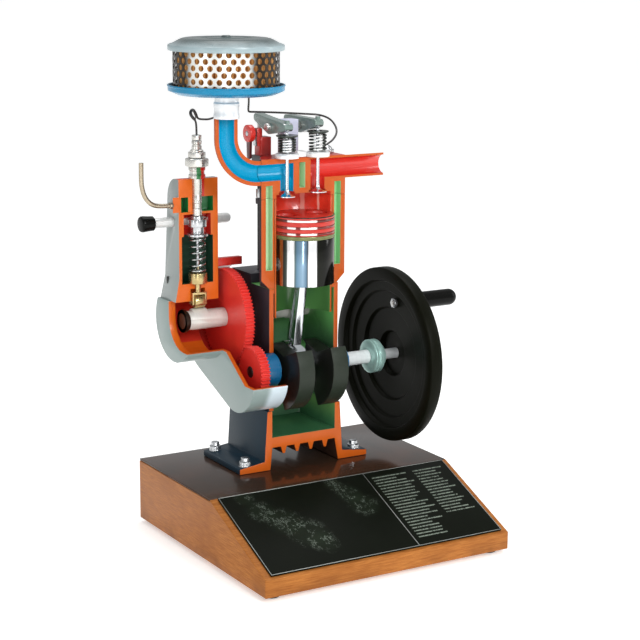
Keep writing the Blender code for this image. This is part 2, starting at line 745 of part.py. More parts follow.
def crankcase():
    bottom = STAND_TOP + GAP
    case = box("crankcase", (CASE_LEFT, 0, bottom), (CASE_RIGHT, CASE_DEPTH, CASE_TOP))
    room = box("crankcase_room", (CASE_LEFT + CASE_WALL, -OVERRUN, bottom - OVERRUN),
               (CASE_RIGHT - CASE_WALL, CASE_DEPTH - CASE_WALL, CASE_SHOULDER - DECK_THICKNESS))
    seat = box("block_seat", (CASE_LEFT - OVERRUN, -OVERRUN, CASE_SHOULDER),
               (CASE_RIGHT + OVERRUN, BLOCK_DEPTH + GAP, CASE_TOP + OVERRUN))
    spigot = rod("liner_hole", LINER_RADIUS + GAP, (CYLINDER_X, 0, LINER_BOTTOM),
                 CASE_TOP - LINER_BOTTOM, steps=FINE_STEPS)
    left_hole = rod("left_bearing_hole", LEFT_BEARING_RADIUS + GAP,
                    (CASE_LEFT - OVERRUN, 0, CRANK_Z), CASE_WALL + 2 * OVERRUN, ALONG_X)
    right_hole = rod("right_bearing_hole", RIGHT_BEARING_RADIUS + GAP,
                     (CASE_RIGHT - CASE_WALL - OVERRUN, 0, CRANK_Z), CASE_WALL + 2 * OVERRUN, ALONG_X)
    cam_hole = rod("cam_bearing_hole", INNER_SHAFT_RADIUS + GAP,
                   (CASE_LEFT - OVERRUN, CAM_Y, CAM_Z), CASE_WALL + 2 * OVERRUN, ALONG_X,
                   steps=SMALL_STEPS)
    cam_seat = rod("cam_bearing_seat", INNER_SHAFT_RADIUS + GAP,
                   (CASE_RIGHT - CASE_WALL - OVERRUN, CAM_Y, CAM_Z),
                   INNER_SHAFT_END - CASE_RIGHT + CASE_WALL + OVERRUN + GAP, ALONG_X,
                   steps=SMALL_STEPS)
    cut(case, room, seat, spigot, left_hole, right_hole, cam_hole, cam_seat)
    for x in (INTAKE_X, EXHAUST_X):
        cut(case, rod("pushrod_hole", PUSHROD_RADIUS + PUSHROD_HOLE_MARGIN, (x, CAM_Y, LINER_BOTTOM),
                      CASE_TOP - LINER_BOTTOM + OVERRUN, steps=SMALL_STEPS))
    return keep(case, CASE_DARK)


def bearing(name, radius, start, end):
    profile = [(radius, end - start), (radius, 0), (SHAFT_RADIUS + GAP, 0),
               (SHAFT_RADIUS + GAP, end - start)]
    return keep(turned(name, profile, (start, 0, CRANK_Z), ALONG_X, ring=True), BEARING_BLUE)


# Cylinder block, liner and head
def block_plan(name, low, high):
    """The plan of block and head: a face slab, an oval flank on the left, a square right side."""
    corner = BLOCK_CORNER
    plan = [(BLOCK_LEFT, 0), (BLOCK_RIGHT, 0)]
    plan += circle_points((BLOCK_RIGHT - corner, BLOCK_DEPTH - corner), corner, 5, 0, math.pi / 2)
    first = math.asin(BLOCK_FACE_DEPTH / BLOCK_DEPTH)
    for step in range(FLANK_STEPS, -1, -1):
        angle = first + (math.pi / 2 - first) * step / FLANK_STEPS
        plan.append((CYLINDER_X - BLOCK_FLANK_WIDTH * math.cos(angle), BLOCK_DEPTH * math.sin(angle)))
    plan.append((BLOCK_LEFT, BLOCK_FACE_DEPTH))
    return flat(name, [plan], high - low, (0, 0, low))


def jackets(name, low, high):
    """The two water spaces that the section opens, one on each side of the bore."""
    for side in (-1, 1):
        inner, outer = CYLINDER_X + side * JACKET_INNER, CYLINDER_X + side * JACKET_OUTER
        yield box(name, (min(inner, outer), -OVERRUN, low), (max(inner, outer), JACKET_DEPTH, high))


def cylinder_block():
    bottom = CASE_SHOULDER + GAP
    block = block_plan("cylinder_block", bottom, BLOCK_TOP)
    for side, x in ((1, BLOCK_LEFT), (-1, BLOCK_RIGHT)):
        chamfer = box("block_chamfer", (-BLOCK_CHAMFER, -OVERRUN, -BLOCK_CHAMFER),
                      (BLOCK_CHAMFER, BLOCK_DEPTH + OVERRUN, BLOCK_CHAMFER))
        chamfer.location = (x, BLOCK_DEPTH / 2, bottom)
        chamfer.rotation_euler = (0, math.radians(45) * side, 0)
        cut(block, chamfer)
    bore = rod("liner_bore", LINER_RADIUS + GAP, (CYLINDER_X, 0, bottom - OVERRUN),
               BLOCK_TOP - bottom + 2 * OVERRUN, steps=FINE_STEPS)
    cut(block, bore, *jackets("block_jacket", JACKET_BOTTOM, BLOCK_TOP + OVERRUN))
    ear = rod("head_nut_ear", EAR_RADIUS, (*HEAD_NUT_PLACE, BLOCK_TOP - GAP - EAR_HEIGHT), EAR_HEIGHT,
              steps=SMALL_STEPS)
    return keep(join(block, ear), CUT_ORANGE)


def cylinder_liner():
    height = BLOCK_TOP - LINER_BOTTOM
    profile = [(LINER_RADIUS, height), (LINER_RADIUS, 0), (BORE_RADIUS, 0), (BORE_RADIUS, height)]
    liner = turned("cylinder_liner", profile, (CYLINDER_X, 0, LINER_BOTTOM), ring=True,
                   steps=FINE_STEPS)
    front = box("liner_front", (CYLINDER_X - LINER_RADIUS - OVERRUN, -LINER_RADIUS - OVERRUN,
                                LINER_BOTTOM - OVERRUN),
                (CYLINDER_X + LINER_RADIUS + OVERRUN, 0, BLOCK_TOP + OVERRUN))
    return keep(cut(liner, front), LINER_RED)


def valve_port(name, x, head_radius):
    """The vertical throat over a valve seat."""
    return rod(name, head_radius * PORT_THROAT_SHARE, (x, 0, HEAD_BOTTOM - OVERRUN),
               DUCT_Z - HEAD_BOTTOM + OVERRUN, steps=STEPS)


def valve_seat(name, x, head_radius):
    return rod(name, head_radius + GAP, (x, 0, CHAMBER_ROOF - OVERRUN),
               OVERRUN + VALVE_RIM + VALVE_CONE / 4 + GAP, steps=STEPS)


def cylinder_head():
    head = block_plan("cylinder_head", HEAD_BOTTOM, HEAD_TOP)
    stub = rod("exhaust_stub", EXHAUST_RADIUS, (BLOCK_RIGHT - OVERRUN, 0, EXHAUST_Z),
               EXHAUST_END - BLOCK_RIGHT + OVERRUN, ALONG_X)
    front = box("stub_front", (BLOCK_LEFT, -EXHAUST_RADIUS - OVERRUN, BLOCK_TOP),
                (EXHAUST_END + OVERRUN, 0, HEAD_TOP + OVERRUN))
    bracket_x, bracket_y = BRACKET_PLACE
    width, depth = BRACKET_SIZE
    bracket_top = LEVER_Z + 2 * LEVER_PIN_RADIUS
    bracket = box("decompressor_bracket", (bracket_x - width / 2, bracket_y - depth / 2,
                                           HEAD_TOP - OVERRUN),
                  (bracket_x + width / 2, bracket_y + depth / 2, HEAD_TOP + BRACKET_HEIGHT))
    ear = box("bracket_ear", (bracket_x - width * 3 / 4, bracket_y - depth / 3,
                              HEAD_TOP + BRACKET_HEIGHT / 2),
              (bracket_x - width / 4, bracket_y + depth / 3, bracket_top))
    lug = box("bracket_lug", (bracket_x - BRACKET_LUG_WIDTH / 2, BLOCK_DEPTH / 2,
                              HEAD_TOP - BRACKET_LUG_HEIGHT),
              (bracket_x + BRACKET_LUG_WIDTH / 2, bracket_y + depth * 2 / 3, HEAD_TOP - OVERRUN / 4))
    boss = rod("duct_boss", DUCT_RADIUS - GAP, (BLOCK_LEFT + GAP, 0, DUCT_Z), BLOCK_CORNER, ALONG_X)
    nut = rod("head_nut", HEAD_NUT_RADIUS, (*HEAD_NUT_PLACE, HEAD_BOTTOM + GAP), HEAD_NUT_HEIGHT,
              steps=6)
    join(head, stub, boss, nut, lug, bracket, ear)
    pin_start = LEVER_X - LEVER_THICKNESS / 2
    lever_pin = rod("lever_pin", LEVER_PIN_RADIUS, (pin_start, LEVER_Y, LEVER_Z),
                    bracket_x - width / 2 - pin_start, ALONG_X, steps=SMALL_STEPS)
    join(head, lever_pin)
    intake = rod("intake_run", PORT_RADIUS, (BLOCK_LEFT - OVERRUN, 0, DUCT_Z),
                 INTAKE_X + INTAKE_HEAD_RADIUS * PORT_THROAT_SHARE - BLOCK_LEFT + OVERRUN, ALONG_X)
    exhaust_start = EXHAUST_X - EXHAUST_HEAD_RADIUS * PORT_THROAT_SHARE
    exhaust = rod("exhaust_run", EXHAUST_PORT_RADIUS, (exhaust_start, 0, EXHAUST_Z),
                  EXHAUST_END - exhaust_start + OVERRUN, ALONG_X)
    chamber = rod("chamber", BORE_RADIUS, (CYLINDER_X, 0, HEAD_BOTTOM - OVERRUN),
                  CHAMBER_ROOF - HEAD_BOTTOM + OVERRUN, steps=FINE_STEPS)
    middle = box("middle_jacket", (MIDDLE_JACKET[0], -OVERRUN, MIDDLE_JACKET_BOTTOM),
                 (MIDDLE_JACKET[1], BLOCK_DEPTH / 2, MIDDLE_JACKET_TOP))
    injector_hole = rod("injector_hole", INJECTOR_RADIUS + GAP,
                        (INJECTOR_X, INJECTOR_Y, HEAD_TOP - INJECTOR_DEPTH),
                        INJECTOR_DEPTH + OVERRUN, steps=SMALL_STEPS)
    cut(head, front, intake, exhaust, chamber, middle, injector_hole,
        *jackets("head_jacket", BLOCK_TOP - OVERRUN, HEAD_JACKET_ROOF))
    for name, x, radius in (("intake", INTAKE_X, INTAKE_HEAD_RADIUS),
                            ("exhaust", EXHAUST_X, EXHAUST_HEAD_RADIUS)):
        guide = rod(name + "_guide_hole", VALVE_STEM_RADIUS + GAP, (x, 0, DUCT_Z),
                    HEAD_TOP - DUCT_Z + OVERRUN, steps=SMALL_STEPS)
        cut(head, valve_port(name + "_throat", x, radius), valve_seat(name + "_seat", x, radius), guide)
    return keep(head, CUT_ORANGE)


def spring_seat(name, x):
    profile = [(SEAT_BOSS_RADIUS, SEAT_BOSS_TOP - HEAD_TOP - GAP), (SEAT_BOSS_RADIUS, 0),
               (VALVE_STEM_RADIUS + GAP, 0), (VALVE_STEM_RADIUS + GAP, SEAT_BOSS_TOP - HEAD_TOP - GAP)]
    return keep(turned(name, profile, (x, 0, HEAD_TOP + GAP), ring=True), SILVER)


# Intake duct and air filter
def duct_route():
    """The duct's centre line: down from the neck, round the bend and along to the head."""
    corner = (DUCT_X + DUCT_BEND, DUCT_Z + DUCT_BEND)
    route = [(DUCT_X, 0, DUCT_TOP)]
    for step in range(13):
        angle = math.pi + math.pi / 2 * step / 12
        route.append((corner[0] + DUCT_BEND * math.cos(angle), 0,
                      corner[1] + DUCT_BEND * math.sin(angle)))
    if BLOCK_LEFT - GAP - route[-1][0] > MERGE:
        route.append((BLOCK_LEFT - GAP, 0, DUCT_Z))
    return route


def intake_duct():
    route = duct_route()
    half_facet = math.pi / 16
    duct = tube("intake_duct", route, DUCT_RADIUS, 6, half_facet)
    first, last = Vector(route[0]), Vector(route[-1])
    longer = [first + Vector((0, 0, OVERRUN))] + route + [last + Vector((OVERRUN, 0, 0))]
    bore = tube("duct_bore", longer, PORT_RADIUS, 6, half_facet)
    front = box("duct_front", (DUCT_X - DUCT_RADIUS - OVERRUN, -DUCT_RADIUS - OVERRUN,
                               DUCT_Z - DUCT_RADIUS - OVERRUN),
                (BLOCK_LEFT + OVERRUN, 0, DUCT_TOP + OVERRUN))
    return keep(cut(duct, bore, front), CUT_ORANGE)


def intake_neck():
    height = NECK_TOP - DUCT_TOP - GAP
    profile = [(NECK_RADIUS, height), (NECK_RADIUS, 0), (NECK_BORE, 0), (NECK_BORE, height)]
    return keep(turned("intake_neck", profile, (DUCT_X, 0, DUCT_TOP + GAP), ring=True), SILVER)


def filter_tray():
    rim = TRAY_TOP - TRAY_BOTTOM
    profile = [(TRAY_RADIUS, rim), (TRAY_RADIUS, rim * 2 / 5), (TRAY_FLOOR_RADIUS, 0), (NECK_BORE, 0),
               (NECK_BORE, SHEET), (TRAY_FLOOR_RADIUS, SHEET), (TRAY_RADIUS - SHEET, rim * 2 / 5 + SHEET),
               (TRAY_RADIUS - SHEET, rim)]
    return keep(turned("filter_tray", profile, (DUCT_X, 0, TRAY_BOTTOM), ring=True,
                       steps=FINE_STEPS), INTAKE_BLUE)


def filter_element():
    """A ring of pleated paper."""
    bottom = TRAY_BOTTOM + SHEET + GAP
    outer = []
    for pleat in range(ELEMENT_PLEATS):
        for half, radius in ((0, ELEMENT_RADIUS), (1, ELEMENT_RADIUS - ELEMENT_PLEAT_DEPTH)):
            angle = math.tau * (pleat + half / 2) / ELEMENT_PLEATS
            outer.append((radius * math.cos(angle), radius * math.sin(angle)))
    inner = circle_points((0, 0), ELEMENT_BORE, ELEMENT_PLEATS)
    return keep(flat("filter_element", [outer, inner], SCREEN_TOP - bottom, (DUCT_X, 0, bottom)),
                PAPER_GOLD)


def filter_screen():
    slope = (SCREEN_RADIUS - TRAY_FLOOR_RADIUS) / (TRAY_RADIUS - SHEET - TRAY_FLOOR_RADIUS)
    bottom = TRAY_BOTTOM + slope * (TRAY_TOP - TRAY_BOTTOM) * 2 / 5 + SHEET + GAP
    height = SCREEN_TOP - bottom
    inner = SCREEN_RADIUS - SCREEN_THICKNESS
    profile = [(SCREEN_RADIUS, height), (SCREEN_RADIUS, 0), (inner, 0), (inner, height)]
    return keep(turned("filter_screen", profile, (DUCT_X, 0, bottom), ring=True,
                       steps=FINE_STEPS), SILVER)


def filter_lid():
    bottom = LID_RIM_BOTTOM
    rim = bottom + LID_RIM_HEIGHT
    crown = LID_CROWN_RADIUS
    profile = [(0, LID_TOP + LID_KNOB_HEIGHT), (LID_KNOB_RADIUS, LID_TOP + LID_KNOB_HEIGHT),
               (LID_KNOB_RADIUS, LID_TOP), (crown - SHEET, LID_TOP), (crown, LID_TOP - SHEET / 2),
               (LID_RADIUS - SHEET, rim), (LID_RADIUS, rim - SHEET), (LID_RADIUS, bottom + SHEET),
               (LID_RADIUS - SHEET, bottom), (0, bottom)]
    profile = [(radius, height - bottom) for radius, height in profile]
    return keep(turned("filter_lid", profile, (DUCT_X, 0, bottom), steps=FINE_STEPS), LID_GREY)


# Crankshaft, flywheel and handle
def web_outline():
    """Seen along X: a counterweight sector opposite the crankpin, and a neck out to the pin end."""
    neck = belt((((0, 0), LEFT_BEARING_RADIUS), ((CRANK_THROW, 0), PIN_END_RADIUS)), SMALL_STEPS)
    turn = math.pi / 2 - CRANK_ANGLE
    sector = circle_points((0, 0), WEB_RADIUS, 14, math.pi - WEB_SECTOR, math.pi + WEB_SECTOR)
    side = [point for point in neck if abs(math.atan2(point[1], point[0])) < math.pi - WEB_SECTOR]
    side.sort(key=lambda point: math.atan2(point[1], point[0]))
    outline = side + sector
    return [(x * math.cos(turn) - y * math.sin(turn), x * math.sin(turn) + y * math.cos(turn))
            for x, y in outline]


def crank_web_left():
    web = flat("crank_web_left", [web_outline()], WEB_THICKNESS, (WEB_LEFT_FACE, 0, CRANK_Z), IN_YZ)
    journal_start = LEFT_BEARING_START - GAP
    journal = rod("left_journal", SHAFT_RADIUS, (journal_start, 0, CRANK_Z),
                  WEB_LEFT_FACE - journal_start + OVERRUN, ALONG_X)
    nose = rod("gear_journal", SPIGOT_RADIUS, (GEAR_LEFT + GEAR_THICKNESS / 4, 0, CRANK_Z),
               journal_start - GEAR_LEFT, ALONG_X, steps=SMALL_STEPS)
    join(web, journal)
    return keep(join(web, nose), CRANK_BLACK, CRANK)


def crank_web_right():
    start = WEB_RIGHT_FACE - WEB_THICKNESS
    web = flat("crank_web_right", [web_outline()], WEB_THICKNESS, (start, 0, CRANK_Z), IN_YZ)
    shaft = rod("right_shaft", SHAFT_RADIUS, (WEB_RIGHT_FACE - OVERRUN, 0, CRANK_Z),
                COLLAR_START - GAP - WEB_RIGHT_FACE + OVERRUN, ALONG_X)
    spigot_start = COLLAR_START - GAP - OVERRUN
    spigot = rod("right_spigot", SPIGOT_RADIUS, (spigot_start, 0, CRANK_Z),
                 FLYWHEEL_LEFT + WHEEL_HUB_END - spigot_start - OVERRUN, ALONG_X)
    join(web, shaft)
    return keep(join(web, spigot), CRANK_BLACK, CRANK)


def hub_collar():
    length = COLLAR_LENGTH + COLLAR_HUB_LENGTH
    bore = SPIGOT_RADIUS + GAP
    profile = [(COLLAR_HUB_RADIUS, length), (COLLAR_HUB_RADIUS, COLLAR_LENGTH),
               (COLLAR_RADIUS, COLLAR_LENGTH), (COLLAR_RADIUS, 0), (bore, 0), (bore, length)]
    return keep(turned("hub_collar", profile, (COLLAR_START, 0, CRANK_Z), ALONG_X, ring=True),
                ZINC, CRANK)


def flywheel():
    """A rim with a stepped web that is dished outwards, and a hub on the shaft's end."""
    left = [(FLYWHEEL_RADIUS - RIM_THICKNESS, 0)]
    right = []
    inner_radii = [radius for radius, depth in WHEEL_STEPS[1:]] + [WHEEL_HUB_RADIUS - WHEEL_RISER]
    for (radius, depth), inner in zip(WHEEL_STEPS, inner_radii):
        left += [(radius, depth), (inner + WHEEL_RISER, depth)]
        right += [(radius, depth + WHEEL_WEB), (inner + WHEEL_RISER, depth + WHEEL_WEB)]
    bore = SPIGOT_RADIUS + GAP
    inner_left = left + [(bore, left[-1][1])]
    rim_corner = SHEET / 2
    outer = [(WHEEL_HUB_RADIUS, WHEEL_HUB_END)]
    outer += [point for point in reversed(right)]
    outer += [(FLYWHEEL_RADIUS - RIM_THICKNESS, RIM_DEPTH)]
    outer += [(FLYWHEEL_RADIUS - rim_corner, RIM_DEPTH), (FLYWHEEL_RADIUS, RIM_DEPTH - rim_corner),
              (FLYWHEEL_RADIUS, rim_corner), (FLYWHEEL_RADIUS - rim_corner, 0)]
    profile = [(bore, WHEEL_HUB_END)] + outer + inner_left
    wheel = turned("flywheel", profile, (FLYWHEEL_LEFT, 0, CRANK_Z), ALONG_X, ring=True,
                   steps=FINE_STEPS)
    pin_hole = rod("pin_hole", HANDLE_PIN_RADIUS + GAP, (FLYWHEEL_LEFT, HANDLE_Y, HANDLE_Z),
                   RIM_DEPTH + WHEEL_HUB_END, ALONG_X, steps=SMALL_STEPS)
    return keep(cut(wheel, pin_hole), FLYWHEEL_BLACK, CRANK)


def web_face_depth(radius):
    """How far right of the rim's left face the web's left face lies at a radius."""
    depth = 0
    for step_radius, step_depth in WHEEL_STEPS:
        if radius <= step_radius:
            depth = step_depth
    return depth


def handle_pin():
    web_left = FLYWHEEL_LEFT + web_face_depth(math.hypot(HANDLE_Y, HANDLE_RISE))
    nut_end = web_left - GAP
    web_right = web_left + WHEEL_WEB + GAP
    pin = rod("handle_pin", HANDLE_PIN_RADIUS, (nut_end - HANDLE_NUT_HEIGHT, HANDLE_Y, HANDLE_Z),
              HANDLE_END - GRIP_RADIUS / 2 - nut_end + HANDLE_NUT_HEIGHT, ALONG_X, steps=SMALL_STEPS)
    nut = rod("handle_nut", HANDLE_NUT_RADIUS, (nut_end - HANDLE_NUT_HEIGHT, HANDLE_Y, HANDLE_Z),
              HANDLE_NUT_HEIGHT, ALONG_X, steps=6)
    shoulder = rod("handle_shoulder", HANDLE_NUT_RADIUS, (web_right, HANDLE_Y, HANDLE_Z),
                   HANDLE_START - GAP - web_right, ALONG_X, steps=SMALL_STEPS)
    return keep(join(pin, nut, shoulder), SILVER, CRANK)


def handle_grip():
    length = HANDLE_END - HANDLE_START
    bore = HANDLE_PIN_RADIUS + GAP
    blind = length - GRIP_RADIUS / 2 + GAP
    corner = GRIP_RADIUS / 3
    profile = [(0, length), (GRIP_RADIUS - corner, length), (GRIP_RADIUS, length - corner),
               (GRIP_RADIUS, corner), (GRIP_RADIUS - corner / 2, 0), (bore, 0), (bore, blind), (0, blind)]
    return keep(turned("handle_grip", profile, (HANDLE_START, HANDLE_Y, HANDLE_Z), ALONG_X,
                       steps=SMALL_STEPS), GRIP_BLACK, GRIP)


# Timing gears and camshaft
def gear_outline(teeth, phase):
    """Involute-sided teeth, with one tooth centred on the phase angle."""
    pitch = GEAR_MODULE * teeth / 2
    base = pitch * math.cos(PRESSURE_ANGLE)
    tip = pitch + GEAR_MODULE
    root = pitch - GEAR_MODULE * 5 / 4
    half_tooth = math.pi / (2 * teeth) - TOOTH_BACKLASH / (2 * pitch)

    def involute(radius):
        angle = math.acos(min(1, base / radius))
        return math.tan(angle) - angle

    def half_angle(radius):
        return half_tooth + involute(pitch) - involute(radius)

    points = []
    for tooth in range(teeth):
        middle = phase + math.tau * tooth / teeth
        for radius, side in ((root, -1), (tip, -1), (tip, 1), (root, 1)):
            angle = middle + side * half_angle(max(radius, base))
            points.append((radius * math.cos(angle), radius * math.sin(angle)))
    return points


def crank_gear():
    bore = circle_points((0, 0), SPIGOT_RADIUS + GAP, SMALL_STEPS)
    outline = gear_outline(CRANK_TEETH, GEAR_DIRECTION)
    return keep(flat("crank_gear", [outline, bore], GEAR_THICKNESS, (GEAR_LEFT, 0, CRANK_Z), IN_YZ),
                GEAR_RED, CRANK)


def cam_gear():
    bore = circle_points((0, 0), INNER_SHAFT_RADIUS + GAP, SMALL_STEPS)
    outline = gear_outline(CAM_TEETH, GEAR_DIRECTION + math.pi + math.pi / CAM_TEETH)
    return keep(flat("cam_gear", [outline, bore], GEAR_THICKNESS, (GEAR_LEFT, CAM_Y, CAM_Z), IN_YZ),
                GEAR_RED, CAM)


def lobe(name, base_radius, lift, start, width, direction):
    """A cam: a base circle pulled out to a rounded nose."""
    nose_radius = base_radius / 2
    reach = base_radius + lift - nose_radius
    nose = (reach * math.cos(direction), reach * math.sin(direction))
    outline = belt((((0, 0), base_radius), (nose, nose_radius)), SMALL_STEPS)
    return flat(name, [outline], width, (start, CAM_Y, CAM_Z), IN_YZ)


def camshaft():
    """The shaft is turned in one: tail, collar, pump end and the thinner run through the gear."""
    tail = DRUM_LEFT + DRUM_PLATE / 3
    right = GEAR_LEFT - GAP
    profile = [(0, INNER_SHAFT_END), (INNER_SHAFT_RADIUS, INNER_SHAFT_END), (INNER_SHAFT_RADIUS, right),
               (CAMSHAFT_RADIUS, right), (CAMSHAFT_RADIUS, CAMSHAFT_LEFT + CAM_COLLAR_LENGTH),
               (CAM_COLLAR_RADIUS, CAMSHAFT_LEFT + CAM_COLLAR_LENGTH), (CAM_COLLAR_RADIUS, CAMSHAFT_LEFT),
               (INNER_SHAFT_RADIUS, CAMSHAFT_LEFT), (INNER_SHAFT_RADIUS, tail), (0, tail)]
    profile = [(radius, place - tail) for radius, place in profile]
    shaft = turned("camshaft", profile, (tail, CAM_Y, CAM_Z), ALONG_X)
    pump_cam = lobe("pump_cam", CAMSHAFT_RADIUS + GAP, PUMP_CAM_LIFT - GAP, PUMP_CAM_START,
                    PUMP_CAM_END - PUMP_CAM_START, math.pi / 2)
    join(shaft, pump_cam)
    for name, x, direction in (("intake_lobe", INTAKE_X, math.radians(75)),
                               ("exhaust_lobe", EXHAUST_X, math.radians(180))):
        join(shaft, lobe(name, VALVE_LOBE_RADIUS, VALVE_LOBE_LIFT, x - VALVE_LOBE_WIDTH / 2,
                         VALVE_LOBE_WIDTH, direction))
    return keep(shaft, SILVER, CAM)


# Piston, rings and connecting rod
def piston():
    outer = PISTON_RADIUS
    groove = outer - RING_GROOVE_DEPTH
    height = CROWN_ABOVE_PIN + SKIRT_BELOW_PIN
    profile = [(0, height), (outer, height)]
    for index, top in enumerate(RING_TOPS):
        thickness = OIL_RING_HEIGHT if index == len(RING_TOPS) - 1 else RING_HEIGHT
        upper = height - top + GAP
        lower = height - top - thickness - GAP
        profile += [(outer, upper), (groove, upper), (groove, lower), (outer, lower)]
    inner = outer - PISTON_WALL
    profile += [(outer, 0), (inner, 0), (inner, height - CROWN_THICKNESS), (0, height - CROWN_THICKNESS)]
    bottom = WRIST_Z - SKIRT_BELOW_PIN
    body = turned("piston", profile, (CYLINDER_X, 0, bottom), steps=FINE_STEPS)
    for side in (-1, 1):
        start = CYLINDER_X + side * (SMALL_END_WIDTH / 2 + GAP)
        end = CYLINDER_X + side * (inner + PISTON_WALL / 2)
        boss = rod("pin_boss", WRIST_PIN_RADIUS + PISTON_WALL, (min(start, end), 0, WRIST_Z),
                   abs(end - start), ALONG_X, steps=SMALL_STEPS)
        join(body, boss)
    pin_bore = rod("pin_bore", WRIST_PIN_RADIUS + GAP, (CYLINDER_X - outer - OVERRUN, 0, WRIST_Z),
                   2 * (outer + OVERRUN), ALONG_X, steps=SMALL_STEPS)
    cut(body, pin_bore)
    for x, radius in ((INTAKE_X, INTAKE_HEAD_RADIUS), (EXHAUST_X, EXHAUST_HEAD_RADIUS)):
        cut(body, rod("valve_pocket", radius + POCKET_MARGIN, (x, 0, CROWN_Z - POCKET_DEPTH),
                      POCKET_DEPTH + OVERRUN, steps=SMALL_STEPS))
    return keep(body, CHROME, PISTON)


def piston_ring(index):
    last = index == len(RING_TOPS) - 1
    thickness = OIL_RING_HEIGHT if last else RING_HEIGHT
    top = CROWN_Z - RING_TOPS[index]
    inner = PISTON_RADIUS - RING_GROOVE_DEPTH + GAP
    outer = BORE_RADIUS - GAP / 2
    name = "oil_ring" if last else "compression_ring_%d" % (index + 1)
    profile = [(outer, thickness), (outer, 0), (inner, 0), (inner, thickness)]
    material = RING_OLIVE if last else CHROME
    return keep(turned(name, profile, (CYLINDER_X, 0, top - thickness), ring=True, steps=FINE_STEPS),
                material, PISTON)


def wrist_pin():
    half = PISTON_RADIUS - PISTON_WALL / 2
    return keep(rod("wrist_pin", WRIST_PIN_RADIUS, (CYLINDER_X - half, 0, WRIST_Z), 2 * half, ALONG_X,
                    steps=SMALL_STEPS), SILVER, PISTON)


def connecting_rod():
    """An I-section shank with both eyes, split across the big end."""
    length = ROD_LENGTH
    half_top, half_bottom = SHANK_WIDTH_TOP / 2, SHANK_WIDTH_BOTTOM / 2
    shank = [(-half_top, 0), (half_top, 0), (half_bottom, -length), (-half_bottom, -length)]
    body = flat("connecting_rod", [shank], SHANK_THICKNESS,
                (CYLINDER_X - SHANK_THICKNESS / 2, 0, WRIST_Z), tilted())
    small = flat("small_end", [circle_points((0, 0), SMALL_END_RADIUS, STEPS)], SMALL_END_WIDTH,
                 (CYLINDER_X - SMALL_END_WIDTH / 2, 0, WRIST_Z), tilted())
    big = flat("big_end", [big_end_outline()], ROD_WIDTH, (CYLINDER_X - ROD_WIDTH / 2, 0, WRIST_Z),
               tilted())
    join(body, small, big)
    margin = SHANK_WIDTH_TOP / 6
    near, far = SMALL_END_RADIUS + margin, length - BIG_END_RADIUS - margin
    recess = [(-half_top + margin, -near), (half_top - margin, -near),
              (half_bottom - 2 * margin, -far), (-half_bottom + 2 * margin, -far)]
    for side in (-1, 1):
        x = CYLINDER_X + side * SHANK_THICKNESS / 2 - SHANK_RECESS
        cut(body, flat("shank_recess", [recess], 2 * SHANK_RECESS, (x, 0, WRIST_Z), tilted()))
    pin = flat("small_eye", [circle_points((0, 0), WRIST_PIN_RADIUS + GAP, SMALL_STEPS)],
               ROD_WIDTH + 2 * OVERRUN, (CYLINDER_X - ROD_WIDTH / 2 - OVERRUN, 0, WRIST_Z), tilted())
    eye = flat("big_eye", [circle_points((0, -length), CRANKPIN_RADIUS + GAP, STEPS)],
               ROD_WIDTH + 2 * OVERRUN, (CYLINDER_X - ROD_WIDTH / 2 - OVERRUN, 0, WRIST_Z), tilted())
    lower = [(-WEB_RADIUS, -length), (-WEB_RADIUS, -length - WEB_RADIUS),
             (WEB_RADIUS, -length - WEB_RADIUS), (WEB_RADIUS, -length)]
    cap_side = flat("cap_side", [lower], ROD_WIDTH + 2 * OVERRUN,
                    (CYLINDER_X - ROD_WIDTH / 2 - OVERRUN, 0, WRIST_Z), tilted())
    return keep(cut(body, pin, eye, cap_side), CHROME, ROD)


def tilted():
    """The YZ plane turned about X by the rod's tilt."""
    return (math.pi / 2, -ROD_TILT, math.pi / 2)


def big_end_outline():
    """A round eye with a pair of bolt ears across the split."""
    ears = BIG_END_RADIUS + CAP_EAR
    corners = [(side * ears, -ROD_LENGTH + rise) for side in (-1, 1)
               for rise in (-CAP_EAR_HEIGHT, CAP_EAR_HEIGHT)]
    return hull(corners + circle_points((0, -ROD_LENGTH), BIG_END_RADIUS, STEPS))


def rod_cap():
    cap = flat("rod_cap", [big_end_outline()], ROD_WIDTH, (CYLINDER_X - ROD_WIDTH / 2, 0, WRIST_Z),
               tilted())
    upper = [(-WEB_RADIUS, -ROD_LENGTH - GAP), (WEB_RADIUS, -ROD_LENGTH - GAP),
             (WEB_RADIUS, 0), (-WEB_RADIUS, 0)]
    eye = flat("cap_eye", [circle_points((0, -ROD_LENGTH), CRANKPIN_RADIUS + GAP, STEPS)],
               ROD_WIDTH + 2 * OVERRUN, (CYLINDER_X - ROD_WIDTH / 2 - OVERRUN, 0, WRIST_Z), tilted())
    rod_side = flat("rod_side", [upper], ROD_WIDTH + 2 * OVERRUN,
                    (CYLINDER_X - ROD_WIDTH / 2 - OVERRUN, 0, WRIST_Z), tilted())
    return keep(cut(cap, eye, rod_side), CHROME, ROD)


def crankpin():
    length = WEB_GAP - 2 * GAP
    place = (CYLINDER_X - length / 2, PIN_Y, CRANK_Z + PIN_RISE)
    return keep(rod("crankpin", CRANKPIN_RADIUS, place, length, ALONG_X), SILVER, ROD)


